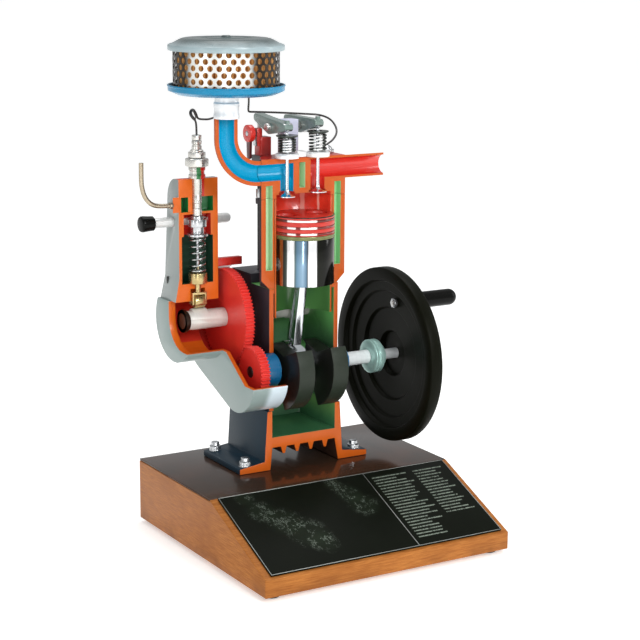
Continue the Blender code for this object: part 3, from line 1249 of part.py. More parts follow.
# Valves, springs, rockers and pushrods
def valve(name, x, head_radius, drop, body):
    """Head, stem and spring retainer, turned in one, lowered by how far the valve stands open."""
    bottom = CHAMBER_ROOF - drop
    stem = VALVE_STEM_RADIUS
    tip = VALVE_TIP - drop - bottom
    retainer_top = RETAINER_TOP - drop - bottom
    profile = [(0, tip), (stem, tip), (stem, retainer_top), (RETAINER_RADIUS, retainer_top),
               (RETAINER_RADIUS, retainer_top - RETAINER_THICKNESS / 2),
               (RETAINER_RADIUS - RETAINER_THICKNESS, retainer_top - RETAINER_THICKNESS),
               (stem, retainer_top - RETAINER_THICKNESS), (stem, VALVE_RIM + 2 * VALVE_CONE),
               (2 * stem, VALVE_RIM + VALVE_CONE / 2), (head_radius, VALVE_RIM), (head_radius, 0), (0, 0)]
    return keep(turned(name, profile, (x, 0, bottom), steps=STEPS), CHROME, body)


def coil(name, place, coil_radius, wire_radius, height, turns, material):
    """A compression spring: one unbroken wire whose ends stand square on what they meet."""
    stub = 2 * wire_radius
    per_turn = 9
    count = turns * per_turn
    points = [(coil_radius, 0, 0)]
    for step in range(count + 1):
        angle = math.tau * step / per_turn
        rise = stub + (height - 2 * stub) * step / count
        points.append((coil_radius * math.cos(angle), coil_radius * math.sin(angle), rise))
    points.append((coil_radius, 0, height))
    pitch = (height - 2 * stub) / turns
    print(name, "least gap between curls, mm:", round((pitch - 2 * wire_radius) * 1000, 2))
    obj = tube(name, points, wire_radius, 1)
    obj.location = place
    return keep(obj, material)


def valve_spring(name, x, drop):
    bottom = SEAT_BOSS_TOP + GAP
    top = RETAINER_TOP - drop - RETAINER_THICKNESS - GAP
    return coil(name, (x, 0, bottom), SPRING_COIL_RADIUS, SPRING_WIRE_RADIUS, top - bottom,
                SPRING_TURNS, SILVER)


def rocker(name, x, drop, body):
    """A rocker arm with its adjusting screw over the valve, drawn at rest."""
    front = (ROCKER_PIVOT_Y - ROCKER_ARM, ROCKER_TOP - ROCKER_END_RADIUS)
    back = (ROCKER_PIVOT_Y + ROCKER_ARM, ROCKER_TOP - ROCKER_END_RADIUS)
    pivot = (ROCKER_PIVOT_Y, ROCKER_PIVOT_Z)
    outline = belt(((front, ROCKER_END_RADIUS), (back, ROCKER_END_RADIUS),
                    (pivot, ROCKER_BOSS_RADIUS)), SMALL_STEPS)
    tilt = drop / ROCKER_ARM
    local = [(y - pivot[0], z - pivot[1]) for y, z in outline]
    bore = circle_points((0, 0), ROCKER_SHAFT_RADIUS + GAP, SMALL_STEPS)
    turn = (math.pi / 2, -tilt, math.pi / 2)
    arm = flat(name, [local, bore], ROCKER_WIDTH, (x - ROCKER_WIDTH / 2, *pivot), turn)
    low = VALVE_TIP - drop + 2 * GAP
    height = ADJUSTER_TOP - drop - low
    profile = [(0, height), (ADJUSTER_RADIUS, height), (ADJUSTER_RADIUS, ADJUSTER_RADIUS / 2),
               (ADJUSTER_RADIUS / 2, 0), (0, 0)]
    join(arm, turned("adjuster", profile, (x, 0, low), steps=SMALL_STEPS))
    return keep(arm, ROCKER_GREY, body)


def pushrod(name, x, drop, body):
    foot = PUSHROD_FOOT_Z + drop
    top = ROCKER_TOP - 2 * ROCKER_END_RADIUS - 3 * GAP + drop
    height = top - foot
    profile = [(0, height), (PUSHROD_RADIUS / 2, height), (PUSHROD_RADIUS, height - PUSHROD_RADIUS),
               (PUSHROD_RADIUS, TAPPET_FOOT_HEIGHT), (TAPPET_FOOT_RADIUS, TAPPET_FOOT_HEIGHT),
               (TAPPET_FOOT_RADIUS, 0), (0, 0)]
    return keep(turned(name, profile, (x, CAM_Y, foot), steps=SMALL_STEPS), SILVER, body)


def rocker_stand():
    left, right = PEDESTAL_X
    low = HEAD_TOP + GAP
    top = ROCKER_PIVOT_Z + ROCKER_BOSS_RADIUS
    post = box("rocker_stand", (left, ROCKER_PIVOT_Y - PEDESTAL_DEPTH / 2, low),
               (right, ROCKER_PIVOT_Y + PEDESTAL_DEPTH / 2, top))
    start = INTAKE_X - ROCKER_SHAFT_OVERHANG
    shaft = rod("rocker_shaft", ROCKER_SHAFT_RADIUS, (start, ROCKER_PIVOT_Y, ROCKER_PIVOT_Z),
                EXHAUST_X + ROCKER_SHAFT_OVERHANG - start, ALONG_X, steps=SMALL_STEPS)
    return keep(join(post, shaft), PEDESTAL_GREY)


def decompression_lever():
    boss = circle_points((0, 0), LEVER_BOSS_RADIUS, STEPS)
    end = (0, -LEVER_LENGTH)
    arm = belt((((0, 0), LEVER_BOSS_RADIUS / 2), (end, LEVER_END_RADIUS)), SMALL_STEPS)
    place = (LEVER_X - LEVER_THICKNESS / 2, LEVER_Y, LEVER_Z)
    lever = flat("decompression_lever", [boss], LEVER_THICKNESS, place, IN_YZ)
    join(lever, flat("lever_arm", [arm], LEVER_THICKNESS / 2,
                     (LEVER_X - LEVER_THICKNESS / 4, LEVER_Y, LEVER_Z), IN_YZ))
    hole = rod("lever_hole", LEVER_PIN_RADIUS + GAP, (LEVER_X - LEVER_THICKNESS, LEVER_Y, LEVER_Z),
               2 * LEVER_THICKNESS, ALONG_X, steps=SMALL_STEPS)
    return keep(cut(lever, hole), LEVER_RED, LEVER)


# Timing cover and gear case
def case_belt(cam_radius, crank_radius):
    return belt((((CAM_Y, CAM_Z), cam_radius), ((0, CRANK_Z), crank_radius)), 2 * STEPS)


def cut_line():
    """The region that is cut away, seen along X: everything above and in front of this line."""
    far = 2 * CAM_Z
    corner = (CUT_BACK_Y - CUT_FILLET, CUT_SHELF_Z + CUT_FILLET)
    fillet = circle_points(corner, CUT_FILLET, 6, 0, -math.pi / 2)
    return [(-far, far), (CUT_BACK_Y, far)] + fillet + [
        (CUT_SLOPE_TOP_Y, CUT_SHELF_Z), (CUT_SLOPE_LOW_Y, CUT_SILL_Z), (-far, CUT_SILL_Z)]


def timing_cover():
    drum = rod("timing_cover", DRUM_RADIUS, (DRUM_LEFT, CAM_Y, CAM_Z), COVER_LEFT - DRUM_LEFT + OVERRUN,
               ALONG_X, steps=FINE_STEPS)
    outer = flat("cover_outer", [case_belt(COVER_CAM_RADIUS, COVER_CRANK_RADIUS)],
                 CASE_SIDE - COVER_LEFT, (COVER_LEFT, 0, 0), IN_YZ)
    join(drum, outer)
    drum_room = rod("drum_room", DRUM_RADIUS - DRUM_WALL, (DRUM_LEFT + DRUM_PLATE, CAM_Y, CAM_Z),
                    COVER_LEFT - DRUM_LEFT, ALONG_X, steps=FINE_STEPS)
    room = flat("cover_room", [case_belt(COVER_CAM_RADIUS - CASE_RING, COVER_CRANK_RADIUS - COVER_WALL)],
                CASE_SIDE - COVER_LEFT, (COVER_LEFT + COVER_PLATE, 0, 0), IN_YZ)
    far = 2 * CAM_Z
    away = flat("cover_cut", [cut_line()], -2 * DRUM_LEFT, (2 * DRUM_LEFT, 0, 0), IN_YZ)
    above = box("pump_seat", (DRUM_LEFT - OVERRUN, -far, PUMP_SEAT_Z), (PUMP_RIGHT + GAP, far, far))
    case_room = box("case_side", (COVER_JOIN, -far, CUT_SILL_Z), (CASE_SIDE + OVERRUN, far, far))
    tail_hole = rod("cam_tail_hole", INNER_SHAFT_RADIUS + GAP, (DRUM_LEFT + DRUM_PLATE / 3 - GAP, CAM_Y,
                    CAM_Z), DRUM_PLATE, ALONG_X, steps=SMALL_STEPS)
    return keep(cut(drum, drum_room, room, away, above, case_room, tail_hole), COVER_GREY)


def gear_case():
    start = COVER_JOIN + GAP
    case = flat("gear_case", [case_belt(COVER_CAM_RADIUS, COVER_CRANK_RADIUS)],
                CASE_SIDE - start, (start, 0, 0), IN_YZ)
    room = flat("gear_room", [case_belt(COVER_CAM_RADIUS - CASE_RING, COVER_CRANK_RADIUS - COVER_WALL)],
                CASE_SIDE - start + 2 * OVERRUN, (start - OVERRUN, 0, 0), IN_YZ)
    far = 2 * CAM_Z
    front = box("case_front", (start - OVERRUN, -far, 0), (CASE_SIDE + OVERRUN, CAM_Y, far))
    below = box("case_below", (start - OVERRUN, -far, 0), (CASE_SIDE + OVERRUN, far, CUT_SILL_Z + GAP))
    seat = box("case_seat", (start - OVERRUN, -far, PUMP_SEAT_Z), (PUMP_RIGHT + GAP, far, far))
    return keep(cut(case, room, front, below, seat), GEAR_RED)


# Injection pump
def pump_housing():
    low = PUMP_SEAT_Z + GAP
    outline = [(PUMP_LEFT - PUMP_FLARE, low), (PUMP_RIGHT, low), (PUMP_RIGHT, PUMP_TOP),
               (PUMP_LEFT, PUMP_TOP), (PUMP_LEFT, low + PUMP_FLARE_HEIGHT)]
    body = flat("pump_housing", [outline], PUMP_DEPTH_BOTTOM, (0, CAM_Y + PUMP_DEPTH_BOTTOM, 0), IN_XZ)
    slope = math.atan2(PUMP_DEPTH_BOTTOM - PUMP_DEPTH_TOP, PUMP_TOP - low)
    back = box("pump_back", (2 * PUMP_LEFT, 0, -OVERRUN),
               (-2 * PUMP_LEFT, PUMP_DEPTH_BOTTOM, 2 * (PUMP_TOP - low)))
    shift = Matrix.Translation((0, PUMP_DEPTH_BOTTOM / 2, PUMP_TOP - low - OVERRUN / 2))
    back.data.transform(shift)
    back.location = (0, CAM_Y + PUMP_DEPTH_BOTTOM, low)
    back.rotation_euler = (slope, 0, 0)
    boss = rod("inlet_boss", INLET_BOSS_RADIUS, (PUMP_LEFT - INLET_BOSS_LENGTH, INLET_Y, INLET_Z),
               INLET_BOSS_LENGTH + OVERRUN, ALONG_X, steps=SMALL_STEPS)
    reach = PUMP_CROWN_DROP * math.tan(slope) + PUMP_DEPTH_TOP - PUMP_CROWN_FLAT
    start, floor, far = CAM_Y + PUMP_CROWN_FLAT, PUMP_TOP - PUMP_CROWN_DROP, CAM_Y + PUMP_DEPTH_BOTTOM
    crown = [(start + reach * math.sin(angle), floor + PUMP_CROWN_DROP * math.cos(angle))
             for angle in (math.pi / 2 * step / FLANK_STEPS for step in range(FLANK_STEPS + 1))]
    crown += [(far, floor), (far, PUMP_TOP + OVERRUN), (start, PUMP_TOP + OVERRUN)]
    above = flat("pump_crown", [crown], -2 * PUMP_LEFT, (2 * PUMP_LEFT, 0, 0), IN_YZ)
    ahead = box("inlet_ahead", (2 * PUMP_LEFT, 0, 0), (0, CAM_Y, PUMP_TOP))
    cut(body, back, above)
    join(body, cut(boss, ahead))
    x, y = PUMP_X, CAM_Y
    gallery = box("gallery", (x - GALLERY_HALF_WIDTH, y - OVERRUN, GALLERY_BOTTOM),
                  (x + GALLERY_HALF_WIDTH, y + GALLERY_DEPTH, GALLERY_TOP))
    sleeve_room = box("sleeve_room", (x - SLEEVE_ROOM_HALF_WIDTH, y - OVERRUN, SLEEVE_ROOM_BOTTOM - OVERRUN),
                      (x + SLEEVE_ROOM_HALF_WIDTH, y + SLEEVE_ROOM_DEPTH, SLEEVE_ROOM_TOP))
    spring_room = box("spring_room", (x - SPRING_ROOM_HALF_WIDTH, y - OVERRUN, SPRING_ROOM_BOTTOM),
                      (x + SPRING_ROOM_HALF_WIDTH, y + SPRING_ROOM_DEPTH, SLEEVE_ROOM_BOTTOM))
    barrel = rod("barrel_hole", BARREL_RADIUS + GAP, (x, y, SLEEVE_ROOM_TOP - OVERRUN),
                 PUMP_TOP - SLEEVE_ROOM_TOP + 2 * OVERRUN, steps=SMALL_STEPS)
    stem = rod("stem_hole", TAPPET_STEM_RADIUS + GAP, (x, y, low), SPRING_ROOM_BOTTOM - low + OVERRUN,
               steps=SMALL_STEPS)
    fork = ROLLER_WIDTH / 2 + 2 * GAP + FORK_CHEEK + GAP
    slot_top = ROLLER_Z + ROLLER_RADIUS + FORK_BRIDGE + TAPPET_LIFT + 4 * GAP
    slot = box("roller_slot", (x - fork, y - OVERRUN, low - OVERRUN),
               (x + fork, y + ROLLER_RADIUS + OVERRUN / 2, slot_top))
    rod_hole = rod("control_rod_hole", CONTROL_ROD_RADIUS + GAP, (PUMP_LEFT - OVERRUN, ROD_Y, ROD_Z),
                   PUMP_RIGHT - PUMP_LEFT + 2 * OVERRUN, ALONG_X, steps=SMALL_STEPS)
    return keep(cut(body, gallery, sleeve_room, spring_room, barrel, stem, slot, rod_hole), CUT_ORANGE)


def pump_barrel():
    height = PUMP_TOP - BARREL_BOTTOM
    bore_end = height / 2
    profile = [(0, height), (BARREL_RADIUS, height), (BARREL_RADIUS, 0), (BARREL_BORE, 0),
               (BARREL_BORE, bore_end), (0, bore_end)]
    return keep(turned("pump_barrel", profile, (PUMP_X, CAM_Y, BARREL_BOTTOM), steps=SMALL_STEPS), SILVER)


def pump_union():
    low = PUMP_TOP + GAP
    stages = ((UNION_COLLAR_RADIUS, UNION_COLLAR_TOP, SMALL_STEPS), (UNION_HEX_RADIUS, UNION_HEX_TOP, 6),
              (UNION_SMALL_HEX_RADIUS, UNION_SMALL_HEX_TOP, 6), (UNION_NECK_RADIUS, UNION_NECK_TOP,
                                                                SMALL_STEPS),
              (UNION_NUT_RADIUS, UNION_NUT_TOP, 6))
    body = None
    bottom = low
    for radius, top, steps in stages:
        stage = rod("pump_union", radius, (PUMP_X, CAM_Y, bottom), top - bottom, steps=steps)
        body = stage if body is None else join(body, stage)
        bottom = top - GAP
    hole = rod("pipe_seat", PIPE_RADIUS + GAP, (PUMP_X, CAM_Y, UNION_NUT_TOP - OVERRUN), 2 * OVERRUN,
               steps=SMALL_STEPS)
    return keep(cut(body, hole), SILVER)


def control_sleeve():
    low = SLEEVE_ROOM_BOTTOM
    flange = OVERRUN * 3 / 4
    ring_low = ROD_Z - CONTROL_ROD_RADIUS * 3 / 4 - low
    ring_high = ROD_Z + CONTROL_ROD_RADIUS * 3 / 4 - low
    top = BARREL_BOTTOM - GAP - low
    profile = [(SLEEVE_RADIUS, top), (SLEEVE_RADIUS, ring_high), (SLEEVE_RING_RADIUS, ring_high),
               (SLEEVE_RING_RADIUS, ring_low), (SLEEVE_RADIUS, ring_low), (SLEEVE_RADIUS, flange),
               (SLEEVE_FLANGE_RADIUS, flange), (SLEEVE_FLANGE_RADIUS, 0), (SLEEVE_BORE, 0),
               (SLEEVE_BORE, top)]
    return keep(turned("control_sleeve", profile, (PUMP_X, CAM_Y, low), ring=True, steps=SMALL_STEPS),
                SILVER, SLEEVE)


def control_rod():
    bar = rod("control_rod", CONTROL_ROD_RADIUS, (CONTROL_ROD_LEFT, ROD_Y, ROD_Z),
              CONTROL_ROD_RIGHT - CONTROL_ROD_LEFT, ALONG_X, steps=SMALL_STEPS)
    knob = rod("control_knob", KNOB_RADIUS, (CONTROL_ROD_LEFT - KNOB_LENGTH, ROD_Y, ROD_Z),
               KNOB_LENGTH + OVERRUN, ALONG_X, steps=SMALL_STEPS)
    return keep(join(bar, knob), SILVER, CONTROL)


def pump_plunger():
    low = SPRING_ROOM_BOTTOM + GAP + TAPPET_HEIGHT + GAP
    top = BARREL_BOTTOM + OVERRUN
    return keep(rod("pump_plunger", PLUNGER_RADIUS, (PUMP_X, CAM_Y, low), top - low,
                    steps=SMALL_STEPS), SILVER, TAPPET)


def pump_tappet():
    x, y = PUMP_X, CAM_Y
    low = SPRING_ROOM_BOTTOM + GAP
    foot = rod("pump_tappet", TAPPET_RADIUS, (x, y, low), TAPPET_HEIGHT, steps=STEPS)
    bridge_low = ROLLER_Z + ROLLER_RADIUS + 2 * GAP
    stem = rod("tappet_stem", TAPPET_STEM_RADIUS, (x, y, bridge_low + FORK_BRIDGE / 2),
               low - bridge_low, steps=SMALL_STEPS)
    inner = ROLLER_WIDTH / 2 + 2 * GAP
    outer = inner + FORK_CHEEK
    fork_low = ROLLER_Z - FORK_DEPTH / 3
    fork = box("tappet_fork", (x - outer, y - FORK_DEPTH / 2, fork_low),
               (x + outer, y + FORK_DEPTH / 2, bridge_low + FORK_BRIDGE))
    mouth = box("fork_mouth", (x - inner, y - FORK_DEPTH, fork_low - OVERRUN),
                (x + inner, y + FORK_DEPTH, bridge_low))
    pin_hole = rod("roller_pin_hole", ROLLER_PIN_RADIUS + GAP, (x - outer - OVERRUN, y, ROLLER_Z),
                   2 * (outer + OVERRUN), ALONG_X, steps=SMALL_STEPS)
    join(foot, stem, fork)
    return keep(cut(foot, mouth, pin_hole), BRASS, TAPPET)


def pump_roller():
    half = ROLLER_WIDTH / 2
    wheel = rod("pump_roller", ROLLER_RADIUS, (PUMP_X - half, CAM_Y, ROLLER_Z), ROLLER_WIDTH, ALONG_X)
    pin_half = half + 2 * GAP + FORK_CHEEK
    pin = rod("roller_pin", ROLLER_PIN_RADIUS, (PUMP_X - pin_half, CAM_Y, ROLLER_Z), 2 * pin_half,
              ALONG_X, steps=SMALL_STEPS)
    return keep(join(wheel, pin), BRASS, ROLLER)


def pump_spring():
    bottom = SPRING_ROOM_BOTTOM + TAPPET_HEIGHT + 2 * GAP
    top = SLEEVE_ROOM_BOTTOM - GAP
    return coil("pump_spring", (PUMP_X, CAM_Y, bottom), PUMP_SPRING_COIL_RADIUS,
                PUMP_SPRING_WIRE_RADIUS, top - bottom, PUMP_SPRING_TURNS, SILVER)


# Pipes and injector
def injection_pipe():
    """From the pump's top nut, round behind the neck and over the head to the injector."""
    union = Vector((PUMP_X, CAM_Y, UNION_NUT_TOP))
    tip = Vector((INJECTOR_X, INJECTOR_Y, INJECTOR_TOP))
    route = [union - Vector((0, 0, PIPE_SEAT_DEPTH))]
    route += [union + Vector(place) for place in PIPE_START]
    route += [Vector((0, 0, HEAD_TOP)) + Vector(place) for place in PIPE_RUN]
    route += [tip + Vector(PIPE_END)]
    points = smooth_route(route, PIPE_POINT_SPACING)
    points += [tip + Vector((0, 0, rise)) for rise in (OVERRUN, GAP)]
    return keep(tube("injection_pipe", points, PIPE_RADIUS, 2), PIPE_STEEL)


def fuel_inlet_pipe():
    """The fuel feed: a bent pipe into a nipple on the pump's boss."""
    end = PUMP_LEFT - INLET_BOSS_LENGTH - GAP
    y, z = INLET_Y, INLET_Z
    route = [(PUMP_LEFT + along, y + back, z + rise) for along, back, rise in FEED_ROUTE] + [(end, y, z)]
    pipe = tube("fuel_inlet_pipe", smooth_route(route, PIPE_POINT_SPACING), INLET_PIPE_RADIUS, 2)
    nipple = rod("inlet_nipple", INLET_NIPPLE_RADIUS, (end - INLET_NIPPLE_LENGTH, y, z),
                 INLET_NIPPLE_LENGTH, ALONG_X, steps=SMALL_STEPS)
    return keep(join(pipe, nipple), PIPE_STEEL)


def injector():
    low = HEAD_TOP - INJECTOR_DEPTH + GAP
    body = rod("injector", INJECTOR_RADIUS, (INJECTOR_X, INJECTOR_Y, low),
               INJECTOR_TOP - OVERRUN / 2 - low, steps=SMALL_STEPS)
    collar = rod("injector_hex", INJECTOR_RADIUS * 4 / 3, (INJECTOR_X, INJECTOR_Y, HEAD_TOP + GAP),
                 INJECTOR_HEX_HEIGHT, steps=6)
    tip = rod("injector_tip", INJECTOR_RADIUS, (INJECTOR_X, INJECTOR_Y, INJECTOR_TOP - OVERRUN),
              OVERRUN, end_radius=INJECTOR_RADIUS / 2, steps=SMALL_STEPS)
    return keep(join(body, collar, tip), SILVER)


def bake_and_shade():
    """Read every piece with its modifiers applied, and shade its round faces smooth."""
    graph = bpy.context.evaluated_depsgraph_get()
    baked = {}
    for obj in MODEL.objects:
        if obj.type == "MESH":
            baked[obj] = bpy.data.meshes.new_from_object(obj.evaluated_get(graph))
    for obj, mesh in baked.items():
        obj.modifiers.clear()
        mesh.name = obj.name
        obj.data = mesh
        mesh.shade_smooth()
        mesh.set_sharp_from_angle(angle=math.radians(35))
    return list(baked)


def centre(pieces):
    """Stand the model on the origin, centred under everything it reaches."""
    points = [piece.matrix_world @ vertex.co for piece in pieces for vertex in piece.data.vertices]
    for axis in (0, 1):
        reach = [point[axis] for point in points]
        ENGINE.location[axis] -= (min(reach) + max(reach)) / 2


def print_joints():
    for empty in (CRANK, GRIP, CAM, PISTON, ROD, INTAKE_VALVE, EXHAUST_VALVE, INTAKE_ROCKER,
                  EXHAUST_ROCKER, INTAKE_PUSHROD, EXHAUST_PUSHROD, LEVER, TAPPET, ROLLER, SLEEVE, CONTROL):
        place = empty.matrix_world.translation
        print(empty.name, [round(value, 6) for value in place])
    print("engine frame", [round(value, 6) for value in ENGINE.location])
    print("piston range", round(-BDC_DROP, 5), round(TDC_RISE, 5))
    swing = math.degrees(math.asin(CRANK_THROW / ROD_LENGTH))
    rest = math.degrees(ROD_TILT)
    print("rod swing from rest", round(-swing - rest, 3), round(swing - rest, 3))


clear_scene()
MODEL = new_collection("four_stroke_engine_model")
CUTTERS = new_collection("cutters")

CUT_ORANGE = paint("cut_orange", (0.90, 0.24, 0.03), 0.45)
CASE_DARK = paint("case_dark", (0.06, 0.09, 0.07), 0.5)
BLUE_GREY = paint("blue_grey", (0.10, 0.13, 0.18), 0.45)
COVER_GREY = paint("cover_grey", (0.42, 0.48, 0.46), 0.45)
GEAR_RED = paint("gear_red", (0.75, 0.05, 0.03), 0.4)
LINER_RED = paint("liner_red", (0.80, 0.06, 0.04), 0.35)
INTAKE_BLUE = paint("intake_blue", (0.0, 0.27, 0.62), 0.35)
BEARING_BLUE = paint("bearing_blue", (0.02, 0.16, 0.42), 0.35)
CRANK_BLACK = paint("crank_black", (0.03, 0.035, 0.03), 0.5)
FLYWHEEL_BLACK = paint("flywheel_black", (0.01, 0.01, 0.008), 0.2)
GRIP_BLACK = paint("grip_black", (0.01, 0.01, 0.01), 0.3)
SILVER = paint("silver", (0.75, 0.76, 0.78), 0.3, 1.0)
CHROME = paint("chrome", (0.85, 0.86, 0.88), 0.1, 1.0)
ZINC = paint("zinc", (0.45, 0.58, 0.52), 0.35, 1.0)
BRASS = paint("brass", (0.72, 0.55, 0.24), 0.3, 1.0)
RING_OLIVE = paint("ring_olive", (0.30, 0.29, 0.10), 0.45, 0.6)
ROCKER_GREY = paint("rocker_grey", (0.30, 0.37, 0.35), 0.4, 0.4)
PEDESTAL_GREY = paint("pedestal_grey", (0.55, 0.55, 0.62), 0.45)
LEVER_RED = paint("lever_red", (0.65, 0.10, 0.05), 0.4)
LID_GREY = paint("lid_grey", (0.35, 0.42, 0.42), 0.35, 0.5)
PAPER_GOLD = paint("paper_gold", (0.62, 0.36, 0.10), 0.7)
PIPE_STEEL = paint("pipe_steel", (0.25, 0.24, 0.22), 0.3, 1.0)
WOOD = paint("wood", (0.35, 0.16, 0.07), 0.5)
LAMINATE = paint("laminate", (0.06, 0.03, 0.015), 0.25)
PANEL = paint("panel", (0.01, 0.012, 0.01), 0.15)

ENGINE = axis_empty("engine_frame", (0, 0, BASE_HEIGHT + FOOT_HEIGHT))
CRANK = axis_empty("crank_axis", (0, 0, CRANK_Z), ENGINE)
GRIP = axis_empty("grip_axis", (HANDLE_START, HANDLE_Y, HANDLE_Z), ENGINE)
CAM = axis_empty("cam_axis", (GEAR_LEFT, CAM_Y, CAM_Z), ENGINE)
PISTON = axis_empty("piston_axis", (CYLINDER_X, 0, WRIST_Z), ENGINE)
ROD = axis_empty("wrist_pin_axis", (CYLINDER_X, 0, WRIST_Z), ENGINE)
INTAKE_VALVE = axis_empty("intake_valve_axis", (INTAKE_X, 0, CHAMBER_ROOF), ENGINE)
EXHAUST_VALVE = axis_empty("exhaust_valve_axis", (EXHAUST_X, 0, CHAMBER_ROOF), ENGINE)
INTAKE_ROCKER = axis_empty("intake_rocker_axis", (INTAKE_X, ROCKER_PIVOT_Y, ROCKER_PIVOT_Z), ENGINE)
EXHAUST_ROCKER = axis_empty("exhaust_rocker_axis", (EXHAUST_X, ROCKER_PIVOT_Y, ROCKER_PIVOT_Z), ENGINE)
INTAKE_PUSHROD = axis_empty("intake_pushrod_axis", (INTAKE_X, CAM_Y, PUSHROD_FOOT_Z), ENGINE)
EXHAUST_PUSHROD = axis_empty("exhaust_pushrod_axis", (EXHAUST_X, CAM_Y, PUSHROD_FOOT_Z), ENGINE)
LEVER = axis_empty("lever_axis", (LEVER_X, LEVER_Y, LEVER_Z), ENGINE)
TAPPET = axis_empty("tappet_axis", (PUMP_X, CAM_Y, ROLLER_Z), ENGINE)
ROLLER = axis_empty("roller_axis", (PUMP_X, CAM_Y, ROLLER_Z), ENGINE)
SLEEVE = axis_empty("sleeve_axis", (PUMP_X, CAM_Y, SLEEVE_ROOM_BOTTOM), ENGINE)
CONTROL = axis_empty("control_rod_axis", (CONTROL_ROD_LEFT, ROD_Y, ROD_Z), ENGINE)

base_plinth()
base_top_board()
info_panel()
stand()
crankcase()
bearing("left_bearing", LEFT_BEARING_RADIUS, LEFT_BEARING_START, LEFT_BEARING_END)
bearing("right_bearing", RIGHT_BEARING_RADIUS, RIGHT_BEARING_START, RIGHT_BEARING_END)
cylinder_block()
cylinder_liner()
cylinder_head()
spring_seat("intake_spring_seat", INTAKE_X)
spring_seat("exhaust_spring_seat", EXHAUST_X)
intake_duct()
intake_neck()
filter_tray()
filter_element()
filter_screen()
filter_lid()
crank_web_left()
crank_web_right()
crank_gear()
hub_collar()
flywheel()
handle_pin()
handle_grip()
camshaft()
cam_gear()
piston()
for ring_index in range(len(RING_TOPS)):
    piston_ring(ring_index)
wrist_pin()
connecting_rod()
rod_cap()
crankpin()
valve("intake_valve", INTAKE_X, INTAKE_HEAD_RADIUS, INTAKE_OPEN, INTAKE_VALVE)
valve("exhaust_valve", EXHAUST_X, EXHAUST_HEAD_RADIUS, 0, EXHAUST_VALVE)
valve_spring("intake_spring", INTAKE_X, INTAKE_OPEN)
valve_spring("exhaust_spring", EXHAUST_X, 0)
rocker("intake_rocker", INTAKE_X, INTAKE_OPEN, INTAKE_ROCKER)
rocker("exhaust_rocker", EXHAUST_X, 0, EXHAUST_ROCKER)
pushrod("intake_pushrod", INTAKE_X, INTAKE_OPEN, INTAKE_PUSHROD)
pushrod("exhaust_pushrod", EXHAUST_X, 0, EXHAUST_PUSHROD)
rocker_stand()
decompression_lever()
timing_cover()
gear_case()
pump_housing()
pump_barrel()
pump_union()
control_sleeve()
control_rod()
pump_plunger()
pump_tappet()
pump_roller()
pump_spring()
injection_pipe()
fuel_inlet_pipe()
injector()
bpy.context.view_layer.update()
PIECES = bake_and_shade()
centre(PIECES)
bpy.context.view_layer.update()
print_joints()
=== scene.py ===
# Looks of the cutaway four stroke engine model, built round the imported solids
import math

import bpy
from mathutils import Matrix, Vector


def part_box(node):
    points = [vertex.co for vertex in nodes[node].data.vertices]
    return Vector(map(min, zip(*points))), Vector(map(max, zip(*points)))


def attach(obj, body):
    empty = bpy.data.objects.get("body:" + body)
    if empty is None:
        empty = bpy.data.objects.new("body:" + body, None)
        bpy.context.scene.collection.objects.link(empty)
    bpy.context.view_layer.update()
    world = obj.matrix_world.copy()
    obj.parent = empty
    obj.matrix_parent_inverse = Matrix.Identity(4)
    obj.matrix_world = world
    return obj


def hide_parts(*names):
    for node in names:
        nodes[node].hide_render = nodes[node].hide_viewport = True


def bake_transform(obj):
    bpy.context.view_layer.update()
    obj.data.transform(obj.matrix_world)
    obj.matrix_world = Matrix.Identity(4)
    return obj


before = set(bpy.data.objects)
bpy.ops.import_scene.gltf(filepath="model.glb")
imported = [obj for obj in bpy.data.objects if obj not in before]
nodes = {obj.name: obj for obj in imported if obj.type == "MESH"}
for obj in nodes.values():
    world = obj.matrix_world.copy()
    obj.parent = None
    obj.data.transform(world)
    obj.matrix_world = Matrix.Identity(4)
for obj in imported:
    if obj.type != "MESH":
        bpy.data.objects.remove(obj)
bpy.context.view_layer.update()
boardLow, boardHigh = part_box("base_top_board")
linerBack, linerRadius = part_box("cylinder_liner")[1].y, 0.042
engineOrigin = Vector(((boardLow.x + boardHigh.x) / 2, linerBack - linerRadius, boardHigh.z))
print("frame loaded, engine measured from", [round(v, 5) for v in engineOrigin])

# Centre lines, in millimetres from the engine's origin
cylinderX, intakeX, exhaustX = -4.0, -28.5, 16.0
crankZ, camY, camZ = 134.3, 71.5, 192.59
viewAcross, viewBack = 0.859, 0.512  # how much of X and of Y runs sideways in the photograph


# Places and selection
def spotAt(x, y, z):  # millimetres from the crank plane and the board's top
    return engineOrigin + Vector((x, y, z)) / 1000


def inMillimetres(point):
    return (point - engineOrigin) * 1000


def span(node):  # a node's low and high corners
    return [inMillimetres(corner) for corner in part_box(node)]


def fromAxis(place, x=cylinderX, y=0.0):  # distance from an upright line
    return math.hypot(place.x - x, place.y - y)


def steps(radius, height, *moves):  # ring places stepped from one corner of a profile
    return [(radius + out, height + up) for out, up in moves]


axisTurn = {"Z": Matrix.Identity(4), "X": Matrix.Rotation(math.pi / 2, 4, "Y")}


def leaveEdit():
    if bpy.context.object and bpy.context.object.mode != "OBJECT":
        bpy.ops.object.mode_set(mode="OBJECT")


def pickNone():
    leaveEdit()
    bpy.ops.object.select_all(action="DESELECT")


def pickOnly(piece):
    pickNone()
    piece.select_set(True)
    bpy.context.view_layer.objects.active = piece


def editAll(piece):
    pickOnly(piece)
    bpy.ops.object.mode_set(mode="EDIT")
    bpy.ops.mesh.select_all(action="SELECT")


def tidyMesh(piece, gap=0.00001):
    editAll(piece)
    bpy.ops.mesh.remove_doubles(threshold=gap)
    bpy.ops.mesh.normals_make_consistent(inside=False)
    leaveEdit()


